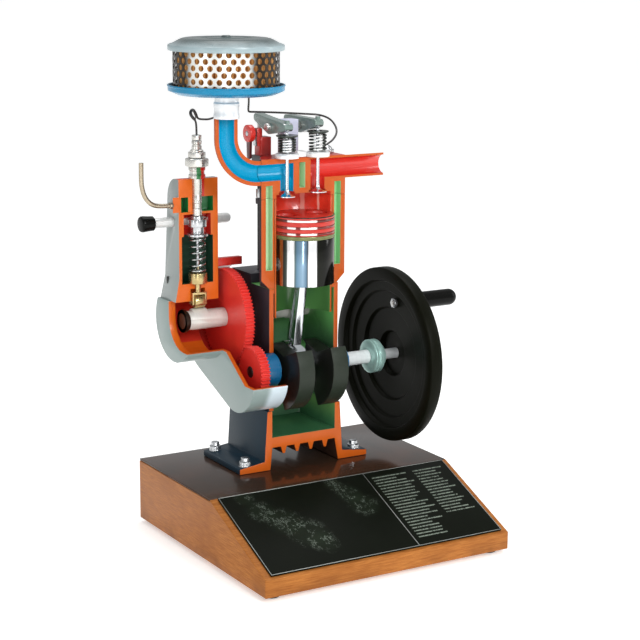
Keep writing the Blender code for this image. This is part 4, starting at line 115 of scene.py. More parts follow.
# Shader maths: a wire is a socket that Python can do sums with
class Wire:
    def __init__(self, paint, socket):
        self.paint = paint
        self.socket = socket

    def __add__(self, other):
        return self.paint.sum("ADD", self, other)

    def __sub__(self, other):
        return self.paint.sum("SUBTRACT", self, other)

    def __rsub__(self, other):
        return self.paint.sum("SUBTRACT", other, self)

    def __mul__(self, other):
        return self.paint.sum("MULTIPLY", self, other)

    def __truediv__(self, other):
        return self.paint.sum("DIVIDE", self, other)

    def __gt__(self, other):
        return self.paint.sum("GREATER_THAN", self, other)

    def __lt__(self, other):
        return self.paint.sum("LESS_THAN", self, other)


class Paint:
    def __init__(self, name, coat=None, coatRough=None, **fixed):
        self.material = bpy.data.materials.new(name)
        self.material.use_nodes = True
        self.tree = self.material.node_tree
        self.shader = self.tree.nodes["Principled BSDF"]
        named = {"Coat Weight": coat, "Coat Roughness": coatRough, "Specular IOR Level": fixed.get("gloss"),
                 "Metallic": fixed.get("metal"), "Coat IOR": fixed.get("coatIor"),
                 "Emission Strength": fixed.get("glow")}
        for socket, value in named.items():
            if value is not None:
                self.shader.inputs[socket].default_value = value

    def node(self, kind, settings=None, values=None, output=0):
        made = self.tree.nodes.new("ShaderNode" + kind)
        for key, value in (settings or {}).items():
            if key == "stops":
                while len(made.color_ramp.elements) < len(value):
                    made.color_ramp.elements.new(1)
                for stop, (position, colour) in zip(made.color_ramp.elements, value):
                    stop.position = position
                    stop.color = colour
            else:
                setattr(made, key, value)
        for key, value in (values or {}).items():
            if isinstance(value, Wire):
                self.tree.links.new(value.socket, made.inputs[key])
            else:
                made.inputs[key].default_value = value
        return Wire(self, made.outputs[output])

    def sum(self, operation, first, second):
        return self.node("Math", {"operation": operation}, {0: first, 1: second})

    def round(self, operation, value):
        return self.node("Math", {"operation": operation}, {0: value})

    def put(self, socket, value):
        self.tree.links.new(value.socket, self.shader.inputs[socket])

    def spots(self, *stretch):  # object coordinates in millimetres, stretched for grain
        raw = self.node("TexCoord", output="Object")
        moved = self.node("VectorMath", {"operation": "SUBTRACT"}, {0: raw, 1: engineOrigin})
        sized = [1000 * value for value in stretch or (1, 1, 1)]
        return self.node("VectorMath", {"operation": "MULTIPLY"}, {0: moved, 1: sized})

    def along(self, axis):
        return self.node("SeparateXYZ", {}, {0: self.spots()}, axis)

    def distance(self, first, second, place):  # from a place in the plane of two values
        flat = self.node("CombineXYZ", {}, {0: first, 1: second})
        return self.node("VectorMath", {"operation": "DISTANCE"}, {0: flat, 1: (*place, 0)}, "Value")

    def noise(self, spots, scale, detail=3, roughness=0.55):
        return self.node("TexNoise", {}, {"Vector": spots, "Scale": scale, "Detail": detail,
                                          "Roughness": roughness}, "Fac")

    def between(self, value, low, high, first=0.0, last=1.0):  # smooth step
        return self.node("MapRange", {"interpolation_type": "SMOOTHSTEP"},
                         {"Value": value, "From Min": low, "From Max": high, "To Min": first, "To Max": last})

    def blend(self, factor, first, second):
        return self.node("Mix", {"data_type": "RGBA", "blend_type": "MIX"}, {0: factor, 6: first, 7: second}, 2)

    def finish(self, colour, rough, height, strength, depth):  # the relief's depth is in millimetres
        self.put("Base Color", colour)
        self.put("Roughness", rough)
        self.put("Normal", self.node("Bump", {}, {"Height": height, "Strength": strength,
                                                  "Distance": depth / 1000}))
        return self.material


def tint(red, green, blue, gain=1.0):  # screen values 0 to 255
    linear = [(value / 255 / 12.92) if value <= 10 else ((value / 255 + 0.055) / 1.055) ** 2.4
              for value in (red, green, blue)]
    return tuple(min(1.0, value * gain) for value in linear) + (1.0,)


# Finishes
def enamel(name, rgb, rough=0.24, coat=0.35, peel=0.16, patch=0.16, grime=0.25, gloss=0.45):
    paint = Paint(name, coat, 0.1, gloss=gloss)
    spots = paint.spots()
    cloud = paint.noise(spots, 0.035, 3)
    speck = paint.noise(spots, 0.6, 4, 0.7)
    base = paint.blend(cloud, tint(*rgb, 1 - patch), tint(*rgb, 1 + patch / 2))
    dusty = paint.between(speck, 0.62, 0.8)
    return paint.finish(paint.blend(dusty * grime, base, tint(*rgb, 0.45)),
                        speck * 0.14 + cloud * 0.08 + (rough - 0.1),
                        paint.noise(spots, 0.9, 2) + speck * 0.25, peel, 0.05)


def roughCast(name, rgb, rough=0.42, grain=0.35, coat=0.1, gloss=0.3):
    paint = Paint(name, coat, 0.2, gloss=gloss)
    spots = paint.spots()
    lump = paint.noise(spots, 0.22, 4, 0.6)
    sand = paint.noise(spots, 1.3, 3, 0.7)
    base = paint.blend(lump, tint(*rgb, 0.75), tint(*rgb, 1.2))
    return paint.finish(paint.blend(paint.between(sand, 0.6, 0.78) * 0.4, base, tint(*rgb, 1.7)),
                        sand * 0.2 + lump * 0.1 + (rough - 0.15), lump * 0.6 + sand * 0.4, grain, 0.12)


def machined(name, rgb, rough=0.2, grain="Z", smear=0.14, shine=1.0):  # lines run round the grain axis
    paint = Paint(name, metal=shine)
    cuts = paint.noise(paint.spots(*((9, 0.15, 0.15) if grain == "X" else (0.15, 0.15, 9))), 0.5, 3, 0.6)
    film = paint.noise(paint.spots(), 0.12, 3)
    base = paint.blend(film, tint(*rgb, 1 - smear), tint(*rgb, 1 + smear))
    return paint.finish(paint.blend(paint.between(cuts, 0.35, 0.65) * 0.22, base, tint(*rgb, 0.62)),
                        cuts * 0.14 + film * 0.12 + (rough - 0.1), cuts, 0.08, 0.02)


def heightBlend(name, low, high, lowRgb, highRgb, rough=0.3, axis="Z", coat=0.3, soil=0.3):
    paint = Paint(name, coat, 0.12)
    spots = paint.spots()
    cloud = paint.noise(spots, 0.05, 3)
    where = paint.between(paint.along(axis) + cloud * 6 - 3, low, high)
    base = paint.blend(where, tint(*lowRgb), tint(*highRgb))
    speck = paint.noise(spots, 0.7, 3, 0.7)
    return paint.finish(paint.blend(paint.between(speck, 0.55, 0.8) * soil, base, tint(20, 30, 20)),
                        speck * 0.2 + (rough - 0.1), speck, 0.12, 0.05)


def sideways(paint, x=cylinderX):  # millimetres across the engine, from an upright line to its front right
    return (paint.along("X") - x) * viewAcross - paint.along("Y") * viewBack


def band(paint, place, low, high, edge=0.8):  # 1 between two places, 0 beyond them
    return paint.between(place, low - edge, low + edge) * paint.between(place, high - edge, high + edge, 1.0, 0.0)


def ringFinish(name, rgb, gaps):  # a ring with a painted highlight across its front, broken at the given gaps
    paint = Paint(name, 0.3, 0.1)
    cuts = paint.noise(paint.spots(0.3, 0.3, 6), 0.8, 3)
    place = sideways(paint) + cuts * 2 - 1
    ringHighlight = band(paint, place, -20, 17)
    for low, high in gaps:
        ringHighlight = ringHighlight * (1 - band(paint, place, low, high))
    dull = paint.blend(cuts, tint(*rgb, 0.6), tint(*rgb, 1.3))
    paint.put("Metallic", ringHighlight * 0.3)
    return paint.finish(paint.blend(ringHighlight, dull, tint(250, 244, 238)), cuts * 0.12 + 0.18, cuts, 0.06, 0.02)


def chamberRed(paint, cloud):  # painted highlights: pale streaks run down the middle and the right of the chamber's wall
    base = paint.blend(cloud, tint(212, 54, 38), tint(234, 68, 46))
    place = sideways(paint) + cloud * 3 - 1.5
    highlightStreak = band(paint, place, -5.0, 0.5, 1.0) * 0.48 + band(paint, place, 16.8, 19.6, 0.6) * 0.6
    return paint.blend(highlightStreak, base, tint(255, 214, 196))


def chamberFinish(name):
    paint = Paint(name, 0.3, 0.15)
    cloud = paint.noise(paint.spots(), 0.12, 3)
    return paint.finish(chamberRed(paint, cloud), cloud * 0.1 + 0.22, cloud, 0.1, 0.05)


# one section paint in two copies: blockOrange is the darker one, painted shade on the cut faces of the crankcase,
# block, liner, head and duct
sectionOrange = enamel("sectionOrange", (212, 97, 22), 0.32, 0.1, gloss=0.3)
blockOrange = enamel("blockOrange", (188, 82, 20), 0.34, 0.08, gloss=0.28)
portRed = enamel("portRed", (208, 42, 32), 0.24, 0.3, 0.1, 0.1)
gearRed = enamel("gearRed", (226, 54, 46), 0.34, 0.2)
caseRed = enamel("caseRed", (192, 40, 32), 0.3, 0.2)
ductBlue = enamel("ductBlue", (0, 150, 192), 0.26, 0.15, 0.08, gloss=0.2)
trayBlue = enamel("trayBlue", (0, 126, 168), 0.26, 0.15, 0.1, gloss=0.3)
jacketLeft = enamel("jacketLeft", (176, 210, 164), 0.4, 0.1)
jacketRight = enamel("jacketRight", (144, 208, 146), 0.4, 0.1)
galleryGreen = enamel("galleryGreen", (30, 120, 60), 0.3, 0.3)
roomGreen = enamel("roomGreen", (30, 62, 46), 0.36, 0.1, gloss=0.25)
standBlue = enamel("standBlue", (22, 46, 60), 0.36, 0.0, 0.1, gloss=0.22)
standShade = enamel("standShade", (66, 44, 34), 0.5, 0.1, gloss=0.2)
# sumpGreen and caseGreen: painted shade, darker towards the bottom of each room
sumpGreen = heightBlend("sumpGreen", 46, 84, (58, 108, 72), (118, 166, 96), 0.2)
caseGreen = heightBlend("caseGreen", 150, 205, (70, 114, 76), (110, 184, 100), 0.3, coat=0.2)
caseOutside = roughCast("caseOutside", (44, 42, 48), 0.42, 0.3, 0.1)
blockOutside = roughCast("blockOutside", (50, 44, 48), 0.44, 0.3, 0.1)
# coverGrey: painted light, lighter and bluer from x -84 mm to x -73 mm across the timing cover
coverGrey = heightBlend("coverGrey", -84, -73, (138, 153, 150), (206, 220, 228), 0.34, "X", 0.15, 0.1)
coverInside = enamel("coverInside", (208, 56, 40), 0.3, 0.25)
pumpGrey = enamel("pumpGrey", (142, 150, 148), 0.3, 0.25, 0.12, 0.1, 0.15)
bearingBlue = enamel("bearingBlue", (16, 100, 146), 0.28, 0.25)
webBlack = roughCast("webBlack", (26, 27, 24), 0.34, 0.25, 0.15)
webRim = roughCast("webRim", (36, 44, 34), 0.5, 0.5, 0.05)
wheelBlack = enamel("wheelBlack", (14, 15, 7), 0.4, 0.0, 0.04, 0.2, 0.0, 0.06)
gripBlack = enamel("gripBlack", (10, 10, 8), 0.24, 0.0, 0.08, 0.2, 0.0, 0.12)
steel = machined("steel", (196, 198, 200), 0.2, shine=0.9)
steelAlongX = machined("steelAlongX", (204, 202, 198), 0.24, "X", shine=0.8)
satinBar = machined("satinBar", (222, 222, 220), 0.34, "X", 0.08, 0.4)
hubSilver = machined("hubSilver", (236, 241, 242), 0.34, "X", 0.06, 0.15)
camSteel = machined("camSteel", (212, 211, 204), 0.34, "X", 0.1, 0.12)
camHollow = machined("camHollow", (62, 48, 40), 0.3, "X", 0.2, 0.8)
chrome = machined("chrome", (228, 232, 236), 0.1, "Z", 0.05)
satinSilver = machined("satinSilver", (236, 236, 236), 0.34, "Z", 0.05, 0.35)
zincGreen = machined("zincGreen", (172, 210, 202), 0.28, "X", 0.12, 0.4)
brass = machined("brass", (192, 172, 122), 0.24, "Z", 0.2, 0.9)
pipeDark = enamel("pipeDark", (34, 28, 27), 0.3, 0.3, 0.05, 0.2, 0.1)
pipePale = machined("pipePale", (178, 164, 142), 0.24, "Z", 0.15)
springWire = machined("springWire", (186, 190, 188), 0.2, "Z", 0.2)
retainerDark = machined("retainerDark", (74, 80, 74), 0.26, "Z", 0.2, 0.8)
unionSteel = machined("unionSteel", (212, 210, 204), 0.24, "Z", 0.14, 0.8)
edgingAlloy = machined("edgingAlloy", (150, 154, 150), 0.32, "X", 0.12, 0.7)
ringRed = ringFinish("ringRed", (96, 30, 24), ())
ringBroken = ringFinish("ringBroken", (120, 34, 28), ((-9.5, -3.5),))
ringOlive = machined("ringOlive", (128, 134, 88), 0.28, "Z", 0.2, 0.6)
rockerGrey = enamel("rockerGrey", (112, 130, 123), 0.28, 0.3)
pedestalLilac = enamel("pedestalLilac", (204, 204, 224), 0.32, 0.15, 0.1, 0.06, 0.1)
leverRed = enamel("leverRed", (212, 46, 36), 0.26, 0.35)
leverDark = enamel("leverDark", (84, 28, 28), 0.3, 0.2)
# lidGrey: painted highlight, a pale rim below z 543 mm under a darker top above 551 mm
lidGrey = heightBlend("lidGrey", 543, 551, (150, 168, 172), (66, 82, 82), 0.3, coat=0.15, soil=0.12)
pushrodBlack = heightBlend("pushrodBlack", 396, 402, (34, 36, 34), (222, 220, 214), 0.3, coat=0.1)
rubberFoot = enamel("rubberFoot", (28, 26, 24), 0.6, 0.0)
print("finishes mixed:", len(bpy.data.materials))


# Ways of making a piece
def soften(piece, width=0.4, segments=2, limit=38, smooth=48):  # rounded edges and smooth curves
    pickOnly(piece)
    if width:
        rounding = piece.modifiers.new("rounding", "BEVEL")
        rounding.width = width / 1000
        rounding.segments = segments
        rounding.limit_method = "ANGLE"
        rounding.angle_limit = math.radians(limit)
        bpy.ops.object.modifier_apply(modifier=rounding.name)
    bpy.ops.object.shade_smooth_by_angle(angle=math.radians(smooth))
    return piece


def settle(piece, body, replaced=None):
    leaveEdit()
    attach(piece, body)
    if replaced:
        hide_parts(replaced)


def place(piece, body, slot, replaced, *rounding, **smoothing):
    soften(piece, *rounding, **smoothing)
    settle(piece, body, replaced)


def dress(node, name, finishes, body, slot, *rounding, rules=(), cuts=(), **smoothing):
    place(copySolid(node, name, finishes, rules, cuts), body, slot, node, *rounding, **smoothing)


def settleSpring(piece, node):  # baked in place; it is attached to no body
    leaveEdit()
    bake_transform(piece)
    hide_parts(node)


def resizeFlat(share):
    bpy.ops.transform.resize(value=(share, share, 1), center_override=(0, 0, 0))


def extrudeBy(x=0, y=0, z=0):
    bpy.ops.mesh.extrude_region_move(TRANSFORM_OT_translate={"value": (x, y, z)})


def bridgeOpenEdges():
    bpy.ops.mesh.select_mode(type="EDGE")
    bpy.ops.mesh.select_all(action="DESELECT")
    bpy.ops.mesh.select_non_manifold()
    bpy.ops.mesh.bridge_edge_loops()
    bpy.ops.mesh.select_mode(type="VERT")


def startCircle(name, sides, radius, filled="NOTHING", height=0):
    pickNone()
    bpy.ops.mesh.primitive_circle_add(vertices=sides, radius=radius, fill_type=filled, location=(0, 0, height))
    piece = bpy.context.object
    piece.name = name
    bpy.ops.object.transform_apply(location=True, rotation=True, scale=True)
    bpy.ops.object.mode_set(mode="EDIT")
    bpy.ops.mesh.select_all(action="SELECT")
    return piece


def lathe(name, rings, finish, axis="Z", spot=(0, 0, 0), sides=96, hollow=False):
    # rings are (radius, height) in millimetres, walked from the first to the last
    piece = startCircle(name, sides, rings[0][0] / 1000, "NOTHING" if hollow else "NGON", rings[0][1] / 1000)
    for (radius, height), (nextRadius, nextHeight) in zip(rings, rings[1:]):
        extrudeBy(z=(nextHeight - height) / 1000)
        resizeFlat(nextRadius / radius)
    if hollow:
        bridgeOpenEdges()
    tidyMesh(piece)
    piece.data.transform(Matrix.Translation(spotAt(*spot)) @ axisTurn[axis])
    piece.data.materials.append(finish)
    return piece


def copySolid(node, name, finishes, rules=(), cuts=()):  # rules give a face's finish by place and way
    piece = bpy.data.objects.new(name, nodes[node].data.copy())
    bpy.context.scene.collection.objects.link(piece)
    piece.data.materials.clear()
    for finish in finishes:
        piece.data.materials.append(finish)
    pickOnly(piece)
    if piece.data.has_custom_normals:
        bpy.ops.mesh.customdata_custom_splitnormals_clear()
    editAll(piece)
    bpy.ops.mesh.remove_doubles(threshold=0.00001)
    bpy.ops.mesh.dissolve_limited(angle_limit=math.radians(1))
    for spot, way in cuts:  # extra edges where a colour ends
        bpy.ops.mesh.select_all(action="SELECT")
        bpy.ops.mesh.bisect(plane_co=spotAt(*spot), plane_no=way)
    leaveEdit()
    for face in piece.data.polygons:
        face.material_index = 0
        for index, test in rules:
            if test(inMillimetres(face.center), face.normal):
                face.material_index = index
    return piece


def wirePiece(name, points, radius, finish, rounds=3):  # a smooth round wire with closed ends
    curve = bpy.data.curves.new(name, "CURVE")
    curve.dimensions = "3D"
    curve.bevel_depth = radius / 1000
    curve.bevel_resolution = rounds
    curve.use_fill_caps = True
    curve.resolution_u = 4
    line = curve.splines.new("NURBS")
    line.points.add(len(points) - 1)
    for point, spot in zip(line.points, points):
        point.co = (*spotAt(*spot), 1)
    line.order_u = 3
    line.use_endpoint_u = True
    piece = bpy.data.objects.new(name, curve)
    bpy.context.scene.collection.objects.link(piece)
    pickOnly(piece)
    bpy.ops.object.convert(target="MESH")
    piece = bpy.context.object
    tidyMesh(piece)
    piece.data.materials.append(finish)
    return soften(piece, 0, smooth=50)


def cubePiece(name, fit, finish):
    pickNone()
    bpy.ops.mesh.primitive_cube_add(size=1)
    piece = bpy.context.object
    piece.name = name
    piece.data.transform(fit)
    piece.data.materials.append(finish)
    return piece


def blockPiece(name, low, high, finish, rounding=0.5):  # a plain block between two corners
    low, high = Vector(low), Vector(high)
    fit = Matrix.Translation(spotAt(*(low + high) / 2)) @ Matrix.Diagonal((*(high - low) / 1000, 1))
    return soften(cubePiece(name, fit, finish), rounding, 2)


def spring(name, spot, radius, wire, height, turns, finish):
    points = []
    flatTurns = 0.9  # turns at each end that lie flat
    total = turns + 2 * flatTurns
    lowest, highest = wire, height - wire
    for step in range(int(total * 20) + 1):
        turn = step / 20
        if turn < flatTurns:
            rise = lowest + 2 * wire * turn / flatTurns
        elif turn > total - flatTurns:
            rise = highest - 2 * wire * (total - turn) / flatTurns
        else:
            rise = lowest + 2 * wire + (highest - lowest - 4 * wire) * min((turn - flatTurns) / turns, 1)
        angle = math.tau * turn
        points.append((spot[0] + radius * math.cos(angle), spot[1] + radius * math.sin(angle), spot[2] + rise))
    return wirePiece(name, points, wire, finish, 2)


def within(**reach):  # faces whose centre lies between the limits given along each axis
    return lambda centre, way: all(low < getattr(centre, axis) < high for axis, (low, high) in reach.items())


def onCut(plane=0.0):  # faces that lie on the section plane
    return lambda centre, way: abs(centre.y - plane) < 0.4 and way.y < -0.9


# Plinth, board and panel
plinthLook = {"rounding": 1.1, "feet": -81.6, "wood": (158, 92, 38), "dark": (98, 54, 25), "light": (184, 118, 56)}


def woodFinish(name, look):
    paint = Paint(name, 0.0, gloss=0.12)
    spots = paint.spots(0.05, 0.05, 1.0)
    wander = paint.noise(paint.spots(), 0.02, 2)
    grain = paint.noise(spots, 0.9, 6, 0.65)
    pores = paint.noise(paint.spots(0.12, 0.12, 2.2), 1.6, 3, 0.7)
    base = paint.blend(paint.between(grain, 0.3, 0.7), tint(*look["wood"], 0.86), tint(*look["light"]))
    base = paint.blend(paint.between(wander, 0.35, 0.7) * 0.45, base, tint(*look["wood"], 0.8))
    base = paint.blend(paint.between(pores, 0.56, 0.72) * 0.55, base, tint(*look["dark"]))
    # darker towards the bottom of the plinth
    lowerDarkening = paint.between(paint.along("Z"), -80, -62, 1.0, 0.0) * paint.between(wander, 0.4, 0.6)
    return paint.finish(paint.blend(lowerDarkening * 0.35, base, tint(*look["dark"])), grain * 0.2 + pores * 0.15 + 0.24,
                        grain * 0.5 + pores * 0.5, 0.25, 0.08)


dress("base_plinth", "plinthBody", [woodFinish("woodVeneer", plinthLook), rubberFoot], "frame", "wood_brown",
      plinthLook["rounding"], 3, rules=[(1, lambda c, way: c.z <= plinthLook["feet"])])

boardLook = {"rounding": 0.5, "brown": (54, 38, 27), "warm": (90, 54, 36)}


def laminateFinish(name, look):
    paint = Paint(name, 0.24, 0.05, coatIor=1.5, gloss=0.2)
    grain = paint.noise(paint.spots(0.04, 0.6, 1), 0.6, 5, 0.6)
    cloud = paint.noise(paint.spots(), 0.012, 2)
    base = paint.blend(paint.between(grain, 0.3, 0.7), tint(*look["brown"], 0.85), tint(*look["brown"], 1.15))
    base = paint.blend(paint.between(cloud, 0.4, 0.7) * 0.4, base, tint(*look["warm"]))
    return paint.finish(base, cloud * 0.08 + grain * 0.08 + 0.14, grain, 0.05, 0.03)


dress("base_top_board", "topBoard", [laminateFinish("laminateBoard", boardLook)], "frame", "laminate_brown",
      boardLook["rounding"], 2)

panelLook = {"black": (15, 18, 12), "ink": (128, 138, 126), "edging": 1.1, "edgingRise": 0.3, "halfWidth": 166.0,
             "divider": 41.5, "rowPitch": 5.6, "rowShare": 0.34, "endMargin": 3.8, "inset": 0.3,
             "lists": ((8, 56, 0.0, 138), (70, 46, 40.0, 104)),  # offset, longest row, random key, last row
             "sketches": ((-134, 14, 16), (-124, 42, 24), (-104, 66, 30), (-84, 92, 34), (-74, 112, 24),
                          (-8, 16, 16), (4, 38, 22), (12, 62, 26))}  # across, down, reach
slopeTop = Vector((0, -68.0, 0))
slopeFoot = Vector((0, -208.5, -59.0))
slopeWay = (slopeFoot - slopeTop).normalized()
slopeUp = Vector((0, slopeWay.z, -slopeWay.y))
slopeLength = (slopeFoot - slopeTop).length


def panelFinish(name, look):  # generic rows and strokes, with nothing to read
    paint = Paint(name, gloss=0.04)
    spots = paint.spots()
    across = paint.along("X")
    down = (paint.along("Y") - slopeTop.y) / slopeWay.y
    cloud = paint.noise(spots, 0.03, 3)
    dust = paint.noise(spots, 0.8, 3, 0.7)
    base = paint.blend(cloud, tint(*look["black"], 0.8), tint(*look["black"], 1.3))
    row = down / look["rowPitch"]
    bar = paint.round("FRACT", row) < look["rowShare"]
    rowNumber = paint.round("FLOOR", row)
    ink = 0
    for offset, longest, key, foot in look["lists"]:
        first = look["divider"] + offset
        chance = paint.node("TexWhiteNoise", {"noise_dimensions": "1D"}, {"W": rowNumber + key}, "Value")
        inside = (across > first) * (across < (chance * (longest * 0.4) + (first + longest * 0.6)))
        ink = inside * (down < foot) + ink
    listed = down > 14
    broken = paint.between(paint.noise(paint.spots(1, 0.05, 1), 0.7, 3, 0.8), 0.4, 0.5)
    words = ink * bar * listed * broken
    strokes = paint.noise(paint.spots(1, 0.45, 1), 0.16, 5, 0.8)
    ridge = paint.between(paint.round("ABSOLUTE", strokes - 0.5), 0.0, 0.035, 1.0, 0.0)
    patches = 0
    for x, y, reach in look["sketches"]:
        patches = paint.between(paint.distance(across, down, (x, y)), reach * 0.4, reach, 1.0, 0.0) + patches
    clusters = paint.between(paint.noise(spots, 0.07, 3, 0.7), 0.48, 0.56)
    sketch = patches * ridge * clusters * paint.between(dust, 0.35, 0.6)
    shaded = paint.blend(patches * 0.07, base, tint(70, 88, 66))
    shaded = paint.blend(sketch * 0.75, shaded, tint(*look["ink"]))
    return paint.finish(paint.blend(words * 0.85, shaded, tint(*look["ink"], 1.2)),
                        dust * 0.1 + cloud * 0.06 + 0.3, paint.noise(spots, 0.5, 2), 0.03, 0.02)


dress("info_panel", "panelFace", [panelFinish("panelBlack", panelLook)], "frame", "panel_black", 0.25, 2)


def panelStrip(name, left, right, near, away):  # a thin metal edging let into the panel's face
    middle = slopeTop + slopeWay * (near + away) / 2 + slopeUp * 3.3 + Vector(((left + right) / 2, 0, 0))
    turn = Matrix.Rotation(math.atan2(-slopeWay.z, -slopeWay.y), 4, "X")
    size = Matrix.Diagonal(((right - left) / 1000, (away - near) / 1000, panelLook["edgingRise"] / 1000, 1))
    strip = cubePiece(name, Matrix.Translation(spotAt(*middle)) @ turn @ size, edgingAlloy)
    place(strip, "frame", "alloy", None, 0.12, 1)


edge = panelLook["edging"]
side = panelLook["halfWidth"] - panelLook["inset"]
nearEnd, farEnd = panelLook["endMargin"], slopeLength - panelLook["endMargin"]
panelStrip("edgingLeft", -side, -side + edge, nearEnd, farEnd)
panelStrip("edgingRight", side - edge, side, nearEnd, farEnd)
panelStrip("edgingTop", -side + edge, side - edge, nearEnd, nearEnd + edge)
panelStrip("edgingFoot", -side + edge, side - edge, farEnd - edge, farEnd)
panelStrip("edgingDivider", panelLook["divider"], panelLook["divider"] + edge, nearEnd + edge, farEnd - edge)
print("plinth, board and panel done")

# Sump stand and crankcase
standLook = {"rounding": 0.8, "boltX": (-83.5, 79.5), "boltY": (10, 93), "stud": 2.9, "studTop": 15.5,
             "sump": {"x": (-49.2, 45), "y": (1, 120), "z": (43, 120)},
             "arch": {"x": (-52, 50.5), "y": (1, 120), "z": (-1, 31)}}
caseRoom = {"x": (-48.2, 42.2), "y": (0.4, 94.3), "z": (0, 240)}


def isStandBolt(centre, way):
    nearX = min(abs(centre.x - x) for x in standLook["boltX"])
    nearY = min(abs(centre.y - y) for y in standLook["boltY"])
    return nearX < 8.2 and nearY < 8.2 and (centre.z > 12.6 or way.z < 0.5 and centre.z > 9)


dress("stand", "sumpStand", [standBlue, sectionOrange, sumpGreen, standShade, steel], "frame", "stand_paint",
      standLook["rounding"], 3, rules=[
          (2, within(**standLook["sump"])),
          (3, lambda c, way: within(**standLook["arch"])(c, way) and abs(way.y) < 0.5),
          (1, onCut()), (4, isStandBolt)])
studRings = [(standLook["stud"], 12), (standLook["stud"], 14.8), (standLook["stud"] - 0.7, standLook["studTop"])]
for x in standLook["boltX"]:
    for y in standLook["boltY"]:
        place(lathe("standStud", studRings, steel, spot=(x, y, 0), sides=24), "frame", "steel", None, 0)
dress("crankcase", "crankCase", [caseOutside, caseGreen, blockOrange], "frame", "case_paint", 0.7, 2,
      rules=[(1, within(**caseRoom)), (2, onCut())])

# Block, liner and head
blockLook = {"rounding": 0.25, "jacket": (44.9, 54.6), "depth": 10.0, "jacketHeights": (261, 371)}
linerLook = {"outside": 41.7, "honedTop": (288, 296), "greenFoot": (242, 247)}


def isJacket(side):
    inner, outer = blockLook["jacket"]

    def test(centre, way):
        away = (centre.x - cylinderX) * side
        inside = inner - 0.4 < away < outer + 0.4 and 0.2 < centre.y < blockLook["depth"] + 0.4
        return inside and blockLook["jacketHeights"][0] < centre.z < blockLook["jacketHeights"][1]
    return test


dress("cylinder_block", "cylinderBlock", [blockOutside, jacketLeft, jacketRight, blockOrange], "frame",
      "section_orange", blockLook["rounding"], 2, rules=[(1, isJacket(-1)), (2, isJacket(1)), (3, onCut())])


def linerFinish(name):  # red chamber with painted highlight streaks, honed bore and green foot
    paint = Paint(name, 0.4, 0.1)
    spots = paint.spots()
    hone = paint.noise(paint.spots(0.4, 0.4, 6), 0.8, 3)
    high = paint.between(paint.along("Z"), *linerLook["honedTop"])
    low = paint.between(paint.along("Z"), *linerLook["greenFoot"], 1.0, 0.0)
    grey = paint.blend(hone, tint(130, 136, 128), tint(176, 182, 176))
    grey = paint.blend(low, grey, tint(76, 124, 66))
    red = chamberRed(paint, paint.noise(spots, 0.12, 3))
    paint.put("Metallic", (1 - high) * (1 - low) * 0.8)
    return paint.finish(paint.blend(high, grey, red), hone * 0.14 + 0.12, hone, 0.08, 0.02)


dress("cylinder_liner", "cylinderLiner", [linerFinish("linerWall"), standShade, blockOrange], "frame",
      "liner_red", 0.2, 1, rules=[(1, lambda c, way: fromAxis(c) > linerLook["outside"]), (2, onCut())])

headTop = span("intake_spring_seat")[0].z - 0.3
headLook = {"rounding": 0.25, "chamber": 39.9, "roof": 364, "intakeZ": headTop - 16.7, "exhaustZ": headTop - 14.8,
            "intakeBore": 10.4, "exhaustBore": 11.8, "intakeThroat": 9.6, "exhaustThroat": 10.4}


def isPort(x, throat, bore, height, side):  # a port's run and the throat over its valve
    def test(centre, way):
        run = (centre.x - x) * side > -throat and math.hypot(centre.y, centre.z - height) < bore + 0.6
        drop = fromAxis(centre, x) < throat + 0.5 and 361.5 < centre.z < height
        return (run or drop) and centre.y > 0.1
    return test


headZones = {  # the places that have a finish of their own, tested in turn, so that a later one wins
    "top": lambda c, way: c.z > headTop - 0.3,
    "chamber": lambda c, way: fromAxis(c) < headLook["chamber"] and c.z < headLook["roof"] and c.y > 0.1,
    "middleJacket": within(x=(-10.8, -1.6), y=(0.1, 32), z=(363, headTop - 5)),
    "stub": lambda c, way: c.x > 57.2 and math.hypot(c.y, c.z - headLook["exhaustZ"]) > 13.6,
    "studNut": lambda c, way: c.z < headLook["roof"] and fromAxis(c, -57.2, 20) < 4.4,
    "leverPin": lambda c, way: c.x < -42.5 and c.z > headTop + 18}
isIntakeRun = isPort(intakeX, headLook["intakeThroat"], headLook["intakeBore"], headLook["intakeZ"], -1)
isExhaustRun = isPort(exhaustX, headLook["exhaustThroat"], headLook["exhaustBore"], headLook["exhaustZ"], 1)
dress("cylinder_head", "cylinderHead",
      [blockOutside, blockOrange, ductBlue, portRed, jacketLeft, jacketRight, caseRed, steel,
       chamberFinish("chamberRed")], "frame", "section_orange", headLook["rounding"], 2,
      rules=[(6, headZones["top"]), (8, headZones["chamber"]), (4, headZones["middleJacket"]), (2, isIntakeRun),
             (3, isExhaustRun), (4, isJacket(-1)), (5, isJacket(1)), (1, onCut()), (1, headZones["stub"]),
             (7, headZones["studNut"]), (7, headZones["leverPin"])])

seatLook = {"radius": 15.2, "low": headTop + 0.3, "top": 408.5, "bore": 2.6}
r, low, top, bore = (seatLook[key] for key in ("radius", "low", "top", "bore"))
for name, x in (("intake", intakeX), ("exhaust", exhaustX)):
    seat = lathe(name + "SpringSeat", [(bore, low), (r, low), (r, top - 1.6), (r - 1.6, top), (bore, top)],
                 satinSilver, spot=(x, 0, 0), hollow=True)
    place(seat, "frame", "alloy", name + "_spring_seat", 0.4, 2)
footLook = {"low": (-12.9, 0.6, headTop + 0.3), "high": (0.4, 14.0, 409.6)}
settle(blockPiece("seatCasting", footLook["low"], footLook["high"], satinSilver, 0.7), "frame")
print("stand, crankcase, block and head done")

# Intake duct and air filter
ductLook = {"radius": 15.5, "bore": 10.4, "x": -113.2, "z": headLook["intakeZ"], "bend": 45.0, "top": 455.0,
            "end": -65.3}
ductX = ductLook["x"]
cornerX, cornerZ = ductX + ductLook["bend"], ductLook["z"] + ductLook["bend"]


